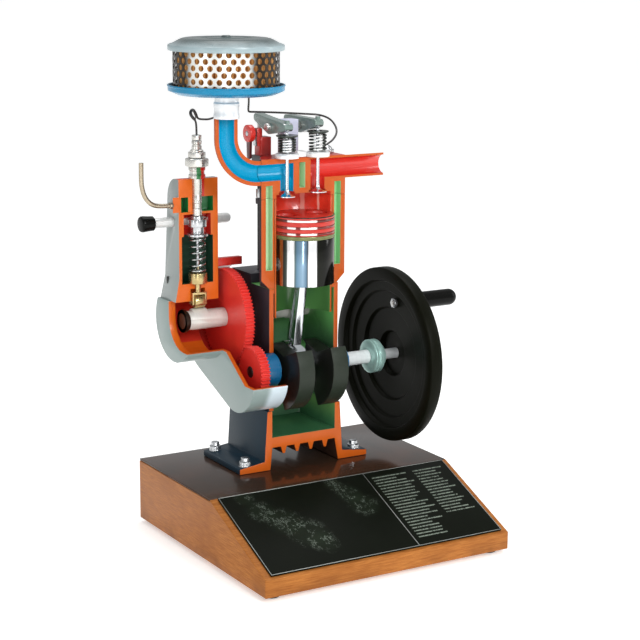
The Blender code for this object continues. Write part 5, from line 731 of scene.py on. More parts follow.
def halfTube(name, look):
    # half a ring is drawn once and spun round the bend, then run out straight at both ends
    piece = startCircle(name, 64, look["radius"] / 1000)
    extrudeBy()
    resizeFlat(look["bore"] / look["radius"])
    bpy.ops.mesh.select_all(action="SELECT")
    bpy.ops.mesh.bisect(plane_co=(0, 0, 0), plane_no=(0, 1, 0), clear_inner=True)
    bpy.ops.mesh.select_all(action="SELECT")
    bpy.ops.transform.translate(value=(look["x"] / 1000, 0, look["top"] / 1000))
    extrudeBy(z=(cornerZ - look["top"]) / 1000)
    bpy.ops.mesh.spin(steps=24, angle=math.pi / 2, center=Vector((cornerX, 0, cornerZ)) / 1000, axis=(0, 1, 0))
    extrudeBy(x=(look["end"] - cornerX) / 1000)
    leaveEdit()
    tidyMesh(piece, 0.000005)
    piece.data.transform(Matrix.Translation(engineOrigin))
    return piece


def ductDistance(centre):  # how far a place is from the duct's centre line
    if centre.z > cornerZ:
        return fromAxis(centre, ductX)
    if centre.x > cornerX:
        return math.hypot(centre.z - ductLook["z"], centre.y)
    return math.hypot(math.hypot(centre.x - cornerX, centre.z - cornerZ) - ductLook["bend"], centre.y)


duct = halfTube("intakeDuct", ductLook)
for finish in (blockOrange, ductBlue):
    duct.data.materials.append(finish)
for face in duct.data.polygons:
    face.material_index = int(ductDistance(inMillimetres(face.center)) < 11 and abs(face.normal.y) < 0.999)
place(duct, "frame", "duct_blue", "intake_duct", 0.5, 2)

neckLook = {"low": 455.3, "top": 484.6, "bore": 12.5, "radius": 15.2, "bead": 15.8}
low, top, bore, r, b = neckLook.values()
neckRings = [(bore, low), *steps(b, low, (0, 0), (0, 5)), *steps(r, low, (0, 6.2), (0, 14)),
             *steps(b, low, (0, 15), (0, 19)), (r - 0.6, low + 20.2), (r - 0.6, top - 4),
             *steps(b, top, (0, -2.6), (0, 0)), (bore, top)]
neck = lathe("intakeNeck", neckRings, satinSilver, spot=(ductX, 0, 0), hollow=True)
place(neck, "frame", "alloy", "intake_neck", 0.35, 2)

trayLook = {"rim": 71.8, "floor": 60.0, "bore": 12.5, "low": 485.0, "top": 497.0, "sheet": 2.2, "shoulder": 4.8}
rim, flat, bore, low, top, sheet, shoulder = trayLook.values()
trayRings = [(bore, low), (flat, low), (rim - 0.8, low + shoulder),
             *steps(rim, top, (-0.8, -2.4), (0, -1.9), (0, -0.5), (-0.6, 0), (-sheet, 0)),
             (rim - sheet, low + shoulder + sheet), (flat, low + sheet), (bore, low + sheet)]
tray = lathe("filterTray", trayRings, trayBlue, spot=(ductX, 0, 0), sides=144, hollow=True)
place(tray, "frame", "duct_blue", "filter_tray", 0.5, 2, 25)

elementLook = {"outer": 59.0, "depth": 4.0, "bore": 40.0, "low": 487.5, "top": 537.2, "pleats": 72}


def paperFinish(name, look):
    paint = Paint(name, gloss=0.3)
    spots = paint.spots()
    pulp = paint.noise(spots, 0.5, 4, 0.7)
    # painted shade: the paper is darker deep in its folds and lighter at their outer edges
    deep = paint.distance(paint.along("X"), paint.along("Y"), (ductX, 0))
    fold = paint.between(deep, look["outer"] - look["depth"], look["outer"])
    base = paint.blend(fold, tint(176, 112, 56), tint(244, 190, 118))
    return paint.finish(paint.blend(pulp * 0.4, base, tint(206, 140, 74)), pulp * 0.2 + 0.55, pulp, 0.3, 0.1)


def pleatedRing(name, look, finish):
    pickNone()
    bpy.ops.mesh.primitive_cylinder_add(vertices=look["pleats"] * 2, radius=look["outer"] / 1000,
                                        depth=(look["top"] - look["low"]) / 1000, end_fill_type="NOTHING",
                                        location=(0, 0, (look["top"] + look["low"]) / 2000))
    piece = bpy.context.object
    piece.name = name
    bpy.ops.object.transform_apply(location=True, rotation=True, scale=True)
    for vertex in piece.data.vertices:  # every other edge is drawn in, so the wall folds
        turn = round(math.atan2(vertex.co.x, vertex.co.y) / math.tau * look["pleats"] * 2)
        if turn % 2:
            vertex.co.x *= 1 - look["depth"] / look["outer"]
            vertex.co.y *= 1 - look["depth"] / look["outer"]
    editAll(piece)
    for height in (look["top"], look["low"]):
        leaveEdit()
        for vertex in piece.data.vertices:
            vertex.select = abs(vertex.co.z - height / 1000) < 1e-6
        for ring in piece.data.edges:
            ring.select = all(piece.data.vertices[i].select for i in ring.vertices)
        for wall in piece.data.polygons:
            wall.select = False
        bpy.ops.object.mode_set(mode="EDIT")
        bpy.ops.mesh.select_mode(type="EDGE")
        extrudeBy()
        resizeFlat(look["bore"] / look["outer"])
    bridgeOpenEdges()
    tidyMesh(piece)
    piece.data.transform(Matrix.Translation(spotAt(ductX, 0, 0)))
    piece.data.materials.append(finish)
    return piece


element = pleatedRing("filterElement", elementLook, paperFinish("pleatedPaper", elementLook))
settle(element, "frame", "filter_element")

screenLook = {"radius": 64.8, "sheet": 0.7, "low": 491.3, "top": 537.2, "round": 36, "rows": 6, "rise": 8.0,
              "hole": 3.55}


def perforatedWall(name, look, finish):
    # one cell is a square round a hole; rows are shifted by half a cell and rolled into a ring
    pitch = math.tau * look["radius"] / look["round"]
    rise = look["rise"]
    cell = startCircle("holeCell", 16, look["hole"])
    extrudeBy()
    leaveEdit()
    for vertex in [v for v in cell.data.vertices if v.select]:  # the outer ring is squared up
        angle = math.atan2(vertex.co.y, vertex.co.x)
        reach = 1 / max(abs(math.cos(angle)), abs(math.sin(angle)))
        vertex.co.x = round(math.cos(angle) * reach * 2) / 4 * pitch
        vertex.co.y = round(math.sin(angle) * reach * 2) / 4 * rise
    verts, polys = [], []
    for row in range(look["rows"]):
        for column in range(look["round"]):
            start = len(verts)
            for vertex in cell.data.vertices:
                angle = ((column + (row % 2) / 2) * pitch + vertex.co.x) / look["radius"]
                verts.append((look["radius"] / 1000 * math.cos(angle), look["radius"] / 1000 * math.sin(angle),
                              (look["low"] + (row + 0.5) * rise + vertex.co.y) / 1000))
            polys += [[start + index for index in face.vertices] for face in cell.data.polygons]
    bpy.data.objects.remove(cell)
    mesh = bpy.data.meshes.new(name)
    mesh.from_pydata(verts, [], polys)
    piece = bpy.data.objects.new(name, mesh)
    bpy.context.scene.collection.objects.link(piece)
    tidyMesh(piece)
    editAll(piece)
    bpy.ops.mesh.bisect(plane_co=(0, 0, look["top"] / 1000), plane_no=(0, 0, 1), clear_outer=True)
    pickOnly(piece)
    wall = piece.modifiers.new("sheet", "SOLIDIFY")
    wall.thickness = look["sheet"] / 1000
    wall.offset = -1
    bpy.ops.object.modifier_apply(modifier=wall.name)
    piece.data.transform(Matrix.Translation(spotAt(ductX, 0, 0)))
    piece.data.materials.append(finish)
    return piece


def screenFinish(name):  # painted reflection: light silver at its front, dark towards both sides
    paint = Paint(name, metal=0.5)
    edgeway = sideways(paint, ductX) + paint.noise(paint.spots(), 0.1, 2) * 6 - 3
    cuts = paint.noise(paint.spots(0.2, 0.2, 4), 0.6, 3)
    front = band(paint, edgeway, -42, 34, 5)
    silver = paint.blend(cuts, tint(206, 208, 204), tint(240, 240, 236))
    return paint.finish(paint.blend(front, tint(36, 26, 15), silver), cuts * 0.12 + 0.24, cuts, 0.06, 0.02)


screen = perforatedWall("filterScreen", screenLook, screenFinish("screenSilver"))
place(screen, "frame", "alloy", "filter_screen", 0, smooth=40)

lidLook = {"radius": 70.9, "rimLow": 537.5, "rimTop": 545.5, "top": 552.5, "crown": 54.0, "knob": 6.0}
r, rimLow, rimTop, top, crown, knobRadius = lidLook.values()
lidRings = [*steps(r, rimLow, (-2.2, 0), (-0.4, 0.6), (0, 2)),
            *steps(r, rimTop, (0, -2.2), (-0.5, -1), (-2.6, 0), (-5, 0.5)),
            *steps(crown, top, (3, -1.8), (0, -0.6), (-3, 0)),
            (31, top), (30, top - 0.7), (24, top - 0.7), (23, top),
            *steps(knobRadius, top, (2, 0), (1, 0.5), (0, 0.9), (-0.4, 2.4), (-1.4, 3))]
lid = lathe("filterLid", lidRings, lidGrey, spot=(ductX, 0, 0), sides=144)
place(lid, "frame", "lid_grey", "filter_lid", 0, smooth=40)
print("duct and filter done")

# Crankshaft and flywheel
bearingLook = {"left": (21.0, -68.5, -47.0), "right": (17.0, 36.5, 56.0), "bore": 9.3}
for name in ("left", "right"):
    radius, start, end = bearingLook[name]
    bore = bearingLook["bore"]
    shellRings = [(bore, start),
                  *steps(radius, start, (-5, 0), (-5, 0.8), (-2.4, 0.8), (-2.4, 0), (-0.5, 0), (0, 0.5)),
                  *steps(radius, end, (0, -0.5), (-0.5, 0), (-2.4, 0), (-2.4, -0.8), (-5, -0.8), (-5, 0)),
                  (bore, end)]
    shell = lathe(name + "Bearing", shellRings, bearingBlue, "X", (0, 0, crankZ), 64, True)
    place(shell, "frame", "bearing_blue", name + "_bearing", 0, smooth=40)

webLook = {"rounding": 1.2, "rim": 40, "hub": 9.2}
for node, name in (("crank_web_left", "crankWebLeft"), ("crank_web_right", "crankWebRight")):
    dress(node, name, [webBlack, webRim, hubSilver], "crankshaft", "crank_iron", webLook["rounding"], 3, rules=[
        (1, lambda c, way: abs(way.x) < 0.3 and math.hypot(c.y, c.z - crankZ) > webLook["rim"]),
        (2, lambda c, way: math.hypot(c.y, c.z - crankZ) < webLook["hub"] and c.x > 32.5)])

collarLook = {"start": 94.0, "flange": 22.0, "flangeWidth": 14.0, "hub": 15.0, "end": 114.0, "bore": 7.1}
start, flange, width, hub, end, bore = collarLook.values()
collarRings = [(bore, start), *steps(flange, start, (-3, 0), (0, 1.6), (0, 4.6), (-1, 5.2), (-1, 6.4), (0, 7)),
               *steps(flange, start + width, (0, -1), (-1, 0)), (hub, start + width),
               *steps(hub, end, (0, -0.8), (-0.8, 0)), (bore, end)]
collar = lathe("hubCollar", collarRings, zincGreen, "X", (0, 0, crankZ), 72, True)
place(collar, "crankshaft", "zinc", "hub_collar", 0.3, 2)

wheelLook = {"left": 117.8, "radius": 115.4, "rimIn": 98.9, "rimDepth": 17.0, "web": 8.0, "hub": 19.0,
             "hubEnd": 37.0, "bore": 7.1, "riser": 2.5,
             "steps": ((96.5, 6.0), (83.0, 10.0), (60.0, 14.5), (28.0, 20.5))}  # radius, depth
w = wheelLook
backRings, frontRings = [], []
inners = [radius for radius, depth in w["steps"][1:]] + [w["hub"] - w["riser"]]
for (radius, depth), inner in zip(w["steps"], inners):
    backRings += [(radius, depth), (inner + w["riser"], depth)]
    frontRings += [(radius, depth + w["web"]), (inner + w["riser"], depth + w["web"])]
wheelRings = [(w["bore"], w["hubEnd"]), *steps(w["hub"], w["hubEnd"], (-0.8, 0), (0, -0.8)), *reversed(frontRings),
              (w["rimIn"], w["rimDepth"]), *steps(w["radius"], w["rimDepth"], (-1.6, 0), (-0.5, -0.5), (0, -1.6)),
              *steps(w["radius"], 0, (0, 1.6), (-0.5, 0.5), (-1.6, 0)), (w["rimIn"], 0),
              *backRings, (w["bore"], backRings[-1][1])]
wheel = lathe("flyWheel", wheelRings, wheelBlack, "X", (w["left"], 0, crankZ), 180, True)
place(wheel, "crankshaft", "flywheel_black", "flywheel", 0.6, 3, 25, 40)

# The turning handle: a pin through the wheel, its nut and shoulder, and the loose grip
handleLook = {"y": -14.5, "z": 205.3, "pin": 4.0, "pinEnd": 216.3, "nut": 7.0, "shoulder": 7.0, "gripStart": 150.0,
              "gripEnd": 222.0, "grip": 11.0, "wall": 8.6}
handleSpot = (0, handleLook["y"], handleLook["z"])
pinStart = span("handle_pin")[0].x
gripStart, gripEnd, r = handleLook["gripStart"], handleLook["gripEnd"], handleLook["grip"]
pinRings = [*steps(handleLook["pin"], pinStart, (-0.8, 0), (0, 0.8)), (handleLook["pin"], gripStart - 1),
            *steps(handleLook["pin"], handleLook["pinEnd"], (0, -0.7), (-0.6, 0))]
place(lathe("handlePin", pinRings, steelAlongX, "X", handleSpot, 32), "crankshaft", "steel", "handle_pin", 0)
nutRings = steps(handleLook["nut"], pinStart, (-0.9, 0.4), (0, 1.0), (0, 4.4), (-0.9, 5.0))
place(lathe("handleNut", nutRings, steel, "X", handleSpot, 6), "crankshaft", "steel", None, 0.25, 2, 20)
shoulderRings = [*steps(handleLook["shoulder"], pinStart + 5 + handleLook["wall"], (-0.6, 0), (0, 0.6)),
                 *steps(handleLook["shoulder"], gripStart, (0, -1), (-0.8, -0.3))]
place(lathe("handleShoulder", shoulderRings, steelAlongX, "X", handleSpot, 48), "crankshaft", "steel", None, 0)
gripRings = [(5.2, gripStart), *steps(r, gripStart, (-2.2, 0), (-0.8, 1.0), (-0.2, 3), (0, 20)),
             (r - 0.1, gripEnd - 12)]
for step in range(1, 9):  # the grip's round end
    angle = math.pi / 2 * step / 9
    gripRings.append((r * math.cos(angle), gripEnd - 12 + 11.6 * math.sin(angle)))
place(lathe("handleGrip", gripRings, gripBlack, "X", handleSpot, 64), "grip", "grip_black", "handle_grip", 0,
      smooth=40)

noseLook = {"radius": 7.4, "proud": 0.9}
noseStart = span("crank_gear")[0].x
noseRings = [*steps(noseLook["radius"], noseStart - noseLook["proud"], (-0.6, 0), (0, 0.5)),
             (noseLook["radius"], noseStart + 0.4)]
place(lathe("crankNose", noseRings, webBlack, "X", (0, 0, crankZ), 48), "crankshaft", "crank_iron", None, 0.1, 1)

for node, name, body in (("crank_gear", "crankGear", "crankshaft"), ("cam_gear", "camGear", "camshaft")):
    dress(node, name, [gearRed], body, "gear_red", 0.18, 1, 30, 35)

shaftLook = {"end": -141.0, "hollow": -134.0}
shaft = copySolid("camshaft", "camShaft", [camSteel, camHollow])
editAll(shaft)
bpy.ops.mesh.bisect(plane_co=spotAt(shaftLook["end"], 0, 0), plane_no=(1, 0, 0), use_fill=True, clear_inner=True)
bpy.ops.mesh.select_all(action="SELECT")
bpy.ops.mesh.bisect(plane_co=spotAt(shaftLook["hollow"], 0, 0), plane_no=(1, 0, 0))
leaveEdit()
for face in shaft.data.polygons:
    face.material_index = int(inMillimetres(face.center).x < shaftLook["hollow"])
place(shaft, "camshaft", "steel", "camshaft", 0.4, 2)
print("crankshaft, flywheel and gears done")

# Piston and rod
# the stops paint reflections on the skirt: a place across the piston in millimetres, then the reflected colour
pistonLook = {"reach": 39.2, "inside": 35, "landsFrom": 303, "stops": (
    (-39.2, (22, 20, 16)), (-29.6, (22, 20, 16)), (-28.8, (168, 78, 32)), (-26, (150, 84, 44)), (-24.8, (26, 27, 20)),
    (-21, (70, 76, 70)), (-19.4, (250, 250, 250)), (-11.6, (250, 250, 250)), (-10.4, (84, 100, 96)),
    (-7, (104, 138, 162)), (0, (140, 168, 190)), (4, (96, 124, 146)), (5.8, (60, 66, 72)), (6.8, (250, 250, 250)),
    (16.4, (250, 250, 250)), (17.6, (26, 27, 20)), (30, (20, 20, 18)), (39.2, (48, 44, 40)))}


def skirtFinish(name, look):  # polished skirt: painted reflections, light and dark bands that lie round the piston at fixed places
    paint = Paint(name, metal=0.5, gloss=0.3)
    around = sideways(paint)
    lines = paint.noise(paint.spots(0.2, 0.2, 8), 0.6, 3)
    film = paint.noise(paint.spots(1, 1, 0.12), 0.05, 2)
    reach = look["reach"]
    stops = [((across + reach) / (2 * reach), tint(*rgb)) for across, rgb in look["stops"]]
    shade = (around + film * 3 - 1.5 + reach) / (2 * reach)
    base = paint.node("ValToRGB", {"stops": stops}, {"Fac": shade}, "Color")
    return paint.finish(base, lines * 0.12 + 0.06, lines, 0.05, 0.02)


def crownFinish(name):  # red lands with a painted shadow along the edge round the crown
    paint = Paint(name, 0.15, 0.15, gloss=0.35)
    cloud = paint.noise(paint.spots(), 0.2, 3)
    away = paint.distance(paint.along("X"), paint.along("Y"), (cylinderX, 0))
    edgeShadow = paint.between(paint.along("Z"), 329.4, 329.9) * paint.between(away, 37.6, 38.2)
    base = paint.blend(cloud, tint(180, 44, 36), tint(206, 56, 44))
    return paint.finish(paint.blend(edgeShadow, base, tint(28, 16, 14)), cloud * 0.12 + 0.26, cloud, 0.1, 0.05)


dress("piston", "pistonBody", [skirtFinish("pistonSkirt", pistonLook), crownFinish("crownRed"), steel], "piston",
      "chrome", 0.4, 2, rules=[(2, lambda c, way: fromAxis(c) < pistonLook["inside"]),
                               (1, lambda c, way: c.z > pistonLook["landsFrom"])])

ringLook = {"bore": 36.4, "spot": (cylinderX, 0, 0)}
for index in range(1, 4):
    node = "compression_ring_%d" % index
    low, high = span(node)
    r = (high.x - low.x) / 2
    rings = [(ringLook["bore"], low.z), *steps(r, low.z, (-0.3, 0), (0, 0.3)),
             *steps(r, high.z, (0, -0.3), (-0.3, 0)), (ringLook["bore"], high.z)]
    ring = lathe("compressionRing%d" % index, rings, ringRed if index == 1 else ringBroken,
                 spot=ringLook["spot"], hollow=True)
    place(ring, "piston", "chrome", node, 0, smooth=50)
low, high = span("oil_ring")
r = (high.x - low.x) / 2
rings = [(ringLook["bore"], low.z), *steps(r, low.z, (-0.2, 0), (0, 0.2), (0, 1.3), (-0.7, 1.6)),
         *steps(r, high.z, (-0.7, -1.6), (0, -1.3), (0, -0.2), (-0.2, 0)), (ringLook["bore"], high.z)]
place(lathe("oilRing", rings, ringOlive, spot=ringLook["spot"], hollow=True), "piston", "ring_olive", "oil_ring", 0,
      smooth=50)

for node, name, body, finish, width in (("wrist_pin", "wristPin", "piston", steelAlongX, 0.5),
                                        ("crankpin", "crankPin", "rod", steelAlongX, 0.3),
                                        ("connecting_rod", "connectingRod", "rod", chrome, 0.7),
                                        ("rod_cap", "rodCap", "rod", chrome, 0.7)):
    dress(node, name, [finish], body, "chrome", width, 2)
print("piston and rod done")


# Valve gear
def springFinish(name, x):  # painted highlight where it faces the front, painted shade at both sides
    paint = Paint(name, metal=0.6)
    cuts = paint.noise(paint.spots(), 0.6, 2)
    front = band(paint, sideways(paint, x), -5, 6, 1.2)
    return paint.finish(paint.blend(front, tint(46, 52, 46), tint(236, 238, 236)), cuts * 0.15 + 0.2, cuts, 0.1, 0.02)


valveLook = {"stem": 2.3, "retainer": 13.8, "retainerTop": 434.5, "tip": 437.5, "roof": 357.0,
             "coil": 10.5, "wire": 1.2, "turns": 3.6,
             "valves": (("intake", intakeX, 11.2, 3.5), ("exhaust", exhaustX, 12.2, 0.0))}  # head radius, drop
for name, x, headRadius, drop in valveLook["valves"]:
    bottom, keeperTop, tip = (valveLook[key] - drop for key in ("roof", "retainerTop", "tip"))
    s = valveLook["stem"]
    rings = [*steps(headRadius, bottom, (-0.4, 0), (0, 0.4), (0, 1.4)), (headRadius * 0.62, bottom + 3.0),
             (s * 1.7, bottom + 4.8), (s * 1.2, bottom + 7.4), (s, bottom + 10.8), (s, keeperTop - 3),
             *steps(valveLook["retainer"], keeperTop, (-3, -3), (0, -1.5), (0, -0.3), (-0.3, 0)),
             *steps(s, keeperTop, (3.6, 0), (3.2, -0.6), (0.9, -0.6), (0, 0)), *steps(s, tip, (0, -0.4), (-0.4, 0))]
    poppet = lathe(name + "Valve", rings, chrome, spot=(x, 0, 0), sides=64)
    poppet.data.materials.append(retainerDark)
    for face in poppet.data.polygons:
        centre = inMillimetres(face.center)
        face.material_index = int(centre.z > keeperTop - 3.2 and fromAxis(centre, x) > 5)
    place(poppet, name + "_valve", "chrome", name + "_valve", 0, smooth=40)
    low, high = span(name + "_spring")
    coil = spring(name + "Spring", (x, 0, low.z), valveLook["coil"], valveLook["wire"], high.z - low.z,
                  valveLook["turns"], springFinish(name + "SpringWire", x))
    settleSpring(coil, name + "_spring")

rockerLook = {"z": 449, "pushFoot": 8.5, "push": 2.6}
for name in ("intake", "exhaust"):
    node = name + "_rocker"
    dress(node, name + "Rocker", [rockerGrey, steel], node, "rocker_grey", 0.7, 3, rules=[
        (1, lambda c, way: abs(c.y) < 3.5 and abs(c.z - rockerLook["z"]) > 3.2 and abs(way.x) < 0.95)])
    node = name + "_pushrod"
    low, high = span(node)
    rings = [*steps(rockerLook["pushFoot"], low.z, (-0.5, 0), (0, 0.5), (0, 4.5), (-0.5, 5), (-4.9, 5.3)),
             (rockerLook["push"], low.z + 6.5), *steps(rockerLook["push"], high.z, (0, -2.6), (-0.4, -1), (-1.3, 0))]
    push = lathe(name + "Pushrod", rings, pushrodBlack, spot=((low.x + high.x) / 2, camY, 0), sides=32)
    place(push, node, "steel", node, 0, smooth=40)

leverLook = {"pedestal": (-16.8, 3.8), "darkBelow": 417.5}
dress("rocker_stand", "rockerPedestal", [pedestalLilac, steelAlongX], "frame", "pedestal_grey", 1.0, 3,
      rules=[(1, lambda c, way: not leverLook["pedestal"][0] <= c.x <= leverLook["pedestal"][1])])
dress("decompression_lever", "decompressionLever", [leverRed, leverDark], "lever", "lever_red", 0.6, 3,
      rules=[(1, lambda c, way: c.z < leverLook["darkBelow"])])
print("valve gear done")

# Timing cover and gear case
coverLook = {"rounding": 0.7, "drum": 52.0, "drumInner": 46.0, "outer": (77.0, 49.5), "inner": (66.5, 44.3)}


def inBelt(y, z, radii):  # is a place inside the band that runs round both wheels
    for step in range(41):
        share = step / 40
        radius = radii[0] * (1 - share) + radii[1] * share
        if radius > math.hypot(y - camY * (1 - share), z - camZ * (1 - share) - crankZ * share):
            return True
    return False


def coverZone(centre, way):
    probe = centre + way * 1.2
    if way.x < -0.9:
        return "outside"
    if way.x > 0.9:
        return "cut" if centre.x > -91 else "inside"
    if centre.x < -103.2:
        drum = math.hypot(probe.y - camY, probe.z - camZ)
        if drum > coverLook["drum"]:
            return "outside"
        deep = centre.x > -146 and centre.z > 159 and way.y < 0.3
        return "inside" if deep and drum < coverLook["drumInner"] else "cut"
    if not inBelt(probe.y, probe.z, coverLook["outer"]):
        return "outside"
    back = centre - way
    inside = inBelt(probe.y, probe.z, coverLook["inner"]) and not inBelt(back.y, back.z, coverLook["inner"])
    return "inside" if inside else "cut"


dress("timing_cover", "timingCover", [coverGrey, coverInside, sectionOrange], "frame", "cover_grey",
      coverLook["rounding"], 2, rules=[(1, lambda c, way: coverZone(c, way) == "inside"),
                                       (2, lambda c, way: coverZone(c, way) == "cut")])
dress("gear_case", "gearCase", [caseRed], "frame", "gear_red", 0.8, 3)

# Injection pump
pumpLook = {"x": -118.0, "rounding": 0.9, "slotRight": 10.2, "galleryTop": 351.3}
px, py = pumpLook["x"], camY


def inRoom(halfWidth, low, high):
    return within(x=(px - halfWidth - 0.2, px + halfWidth + 0.2), y=(71.7, 93), z=(low - 0.2, high + 0.2))


def isGuide(c, way):  # the round wall behind the barrel and the narrow face beside it
    slot = way.y < -0.7 and px + 6 <= c.x <= px + 10.3 and 71.2 <= c.y <= 71.8 and 351.4 <= c.z <= 374.4
    return slot or fromAxis(c, px, py) < 6.8 and c.z > 351.5 and c.y > 71.7


def pumpLathe(name, rings, finish=unionSteel, sides=48, hollow=False):
    return lathe(name, rings, finish, "Z", (px, py, 0), sides, hollow)


dress("pump_housing", "pumpHousing", [pumpGrey, sectionOrange, galleryGreen, roomGreen, portRed], "frame",
      "section_orange", pumpLook["rounding"], 2,
      rules=[(3, inRoom(22, 240, 301)), (4, inRoom(19, 301, 329)), (2, inRoom(22.5, 332, 351)),
             (1, inRoom(12, 216, 239.5)), (1, onCut(py)), (4, isGuide)],
      cuts=[((px + pumpLook["slotRight"], 0, 0), (1, 0, 0)), ((0, 0, pumpLook["galleryTop"]), (0, 0, 1))])

barrelLook = {"bore": 2.6, "radius": 6.2, "low": 327, "top": 374}
bore, r, low, top = barrelLook.values()
barrelRings = [(bore, low), *steps(r, low, (-0.6, 0), (0, 0.6), (0, 9), (-0.7, 9.8), (-0.7, 16), (0, 16.8), (0, 25),
                                   (-0.5, 25.6), (-0.5, 28), (0, 28.6)), (r, top), (bore, top)]
place(pumpLathe("pumpBarrel", barrelRings, hollow=True), "frame", "steel", "pump_barrel", 0, smooth=40)

unionLook = {"radius": 10.8, "low": 374.3, "green": 0.5, "red": 5.8, "stem": 6.5, "stemLow": 408,
             "hexes": (("unionHexLarge", 15.0, 389, 400), ("unionHexSmall", 11.2, 400, 408),
                       ("unionNut", 6.4, 422.5, 429))}  # radius, low, top
unionRings = steps(unionLook["radius"], unionLook["low"], (-0.6, 0), (0, 0.7), (0, 4.7), (-1.2, 5.7), (-1.2, 9.7),
                   (0, 10.7), (0, 13.7), (-0.6, 14.7))
unionCollar = pumpLathe("unionCollar", unionRings)
unionCollar.data.materials.append(galleryGreen)
unionCollar.data.materials.append(portRed)
for face in unionCollar.data.polygons:
    way = inMillimetres(face.center) - Vector((px, py, 0))
    across = way.x * viewAcross - way.y * viewBack
    face.material_index = (across > unionLook["green"]) + (across > unionLook["red"])
place(unionCollar, "frame", "steel", "pump_union", 0.2, 2)
for name, radius, low, high in unionLook["hexes"]:
    hexRings = [(radius * 0.88, low), (radius, low + radius * 0.07), (radius, high - radius * 0.07),
                (radius * 0.88, high)]
    place(pumpLathe(name, hexRings, sides=6), "frame", "steel", None, 0.3, 2, 18, 30)
stemRings = steps(unionLook["stem"], unionLook["stemLow"], (2.1, 0), (2.1, 1.6), (0, 3), (0, 7),
                  (-0.9, 7.8), (-0.9, 9), (0, 9.8), (0, 13), (-0.7, 14.4))
place(pumpLathe("unionStem", stemRings, sides=40), "frame", "steel", None, 0, smooth=40)

bushLook = {"low": (px - 12.6, 71.6, 332), "high": (px - 6.4, 92, 351), "rounding": 0.3}
slotShadeLook = {"low": (px - 28.3, py + 29.4, 237), "high": (px - 26.2, py + 33.4, 246), "rounding": 0.5}
bush = blockPiece("galleryBush", bushLook["low"], bushLook["high"], sectionOrange, bushLook["rounding"])
bush.data.materials.append(galleryGreen)
for face in bush.data.polygons:
    face.material_index = int(face.normal.x < -0.5)
settle(bush, "frame")
# painted shade: a black block stands where the dark of a slot in the pump's flank shows
flankSlotShade = blockPiece("flankSlotShade", slotShadeLook["low"], slotShadeLook["high"], webBlack, slotShadeLook["rounding"])
settle(flankSlotShade, "frame")

sleeveLook = {"bore": 5.0, "neck": 8.5, "flange": 13.5, "pinion": 12.0, "low": 301, "top": 326.7,
              "flangeWidth": 3, "pinionLow": 313.2, "pinionTop": 322.8}
bore, neck, flange, pinion, low, top, width, pinionLow, pinionTop = sleeveLook.values()
sleeveRings = [(bore, low), (flange, low), (flange, low + width), (neck, low + width), (neck, pinionLow),
               (pinion, pinionLow), (pinion, pinionTop), (neck, pinionTop), (neck, top), (bore, top)]
place(pumpLathe("controlSleeve", sleeveRings, steel, hollow=True), "sleeve", "steel", "control_sleeve", 0.4, 2)

controlLook = {"y": 91.2, "z": 318.0, "left": -173.5, "right": -61.0, "radius": 6.4, "knob": 10.3, "knobLength": 15}
controlSpot = (0, controlLook["y"], controlLook["z"])
left, right, r, k = (controlLook[key] for key in ("left", "right", "radius", "knob"))
barRings = [*steps(r, left, (-0.8, 0), (0, 0.8)), *steps(r, right, (0, -5), (-0.7, -2.6), (-2.4, -0.8), (-4.6, 0))]
place(lathe("controlBar", barRings, satinBar, "X", controlSpot, 48), "control", "steel", "control_rod", 0, smooth=40)
knobRings = [*steps(k, left - controlLook["knobLength"], (-3, 0), (-1.2, 0.5), (-0.2, 2), (0, 4)),
             *steps(k, left, (-0.6, -5), (-1, 2.4), (-2.2, 3.6)), (r + 0.1, left + 4)]
place(lathe("controlKnob", knobRings, gripBlack, "X", controlSpot, 48), "control", "grip_black", None, 0, smooth=40)

low, high = span("pump_plunger")
place(pumpLathe("pumpPlunger", [(2.2, low.z), (2.2, high.z)], steel, 24), "tappet", "steel", "pump_plunger", 0.2, 1)
for node, name, body in (("pump_tappet", "pumpTappet", "tappet"), ("pump_roller", "pumpRoller", "roller")):
    dress(node, name, [brass], body, "brass", 0.4, 2)
low, high = span("pump_spring")
pumpCoil = spring("pumpSpring", (px, py, low.z), 10.0, 1.2, high.z - low.z, 4.8, springWire)
settleSpring(pumpCoil, "pump_spring")
print("pump done")

# Pipes and injector: places at the union are stepped from the pump's axis and the nut's top
pipeLook = {"radius": 1.35, "sleeve": 2.0, "seat": 429.0,
            "start": ((0, 0, -2), (0, 0, 8), (-1, 0, 18)),
            "loop": ((-6, 0, 22), (-8, 2, 28), (-3, 4, 32), (2, 6, 26)),
            "leave": ((5, 7, 19), (16, 11, 17.5)),
            "run": ((-92, 85, 446), (-78, 89, 450), (-73, 90, 466), (-64, 90, 478), (-48, 90, 480), (-34, 90, 478),
                    (-33.4, 90, 466), (-34.6, 90, 454), (-33, 90, 452.4), (-26, 90, 452.2), (18, 88, 449.3),
                    (48, 84, 446.8), (66, 80, 445.6), (76, 70, 441), (78, 58, 432), (73, 47, 423.5), (60, 37, 416),
                    (48, 30, 413), (45.5, 28, 412.3))}


def fromUnion(*moves):
    return [(px + x, py + y, pipeLook["seat"] + z) for x, y, z in moves]


route = fromUnion(*pipeLook["start"], *pipeLook["loop"], *pipeLook["leave"]) + list(pipeLook["run"])
settle(wirePiece("injectionPipe", route, pipeLook["radius"], pipeDark), "frame", "injection_pipe")
sleeveRoute = fromUnion((-2, 0, 19), *pipeLook["loop"], (4, 7, 21))
settle(wirePiece("pipeSleeve", sleeveRoute, pipeLook["sleeve"], pipeDark), "frame")

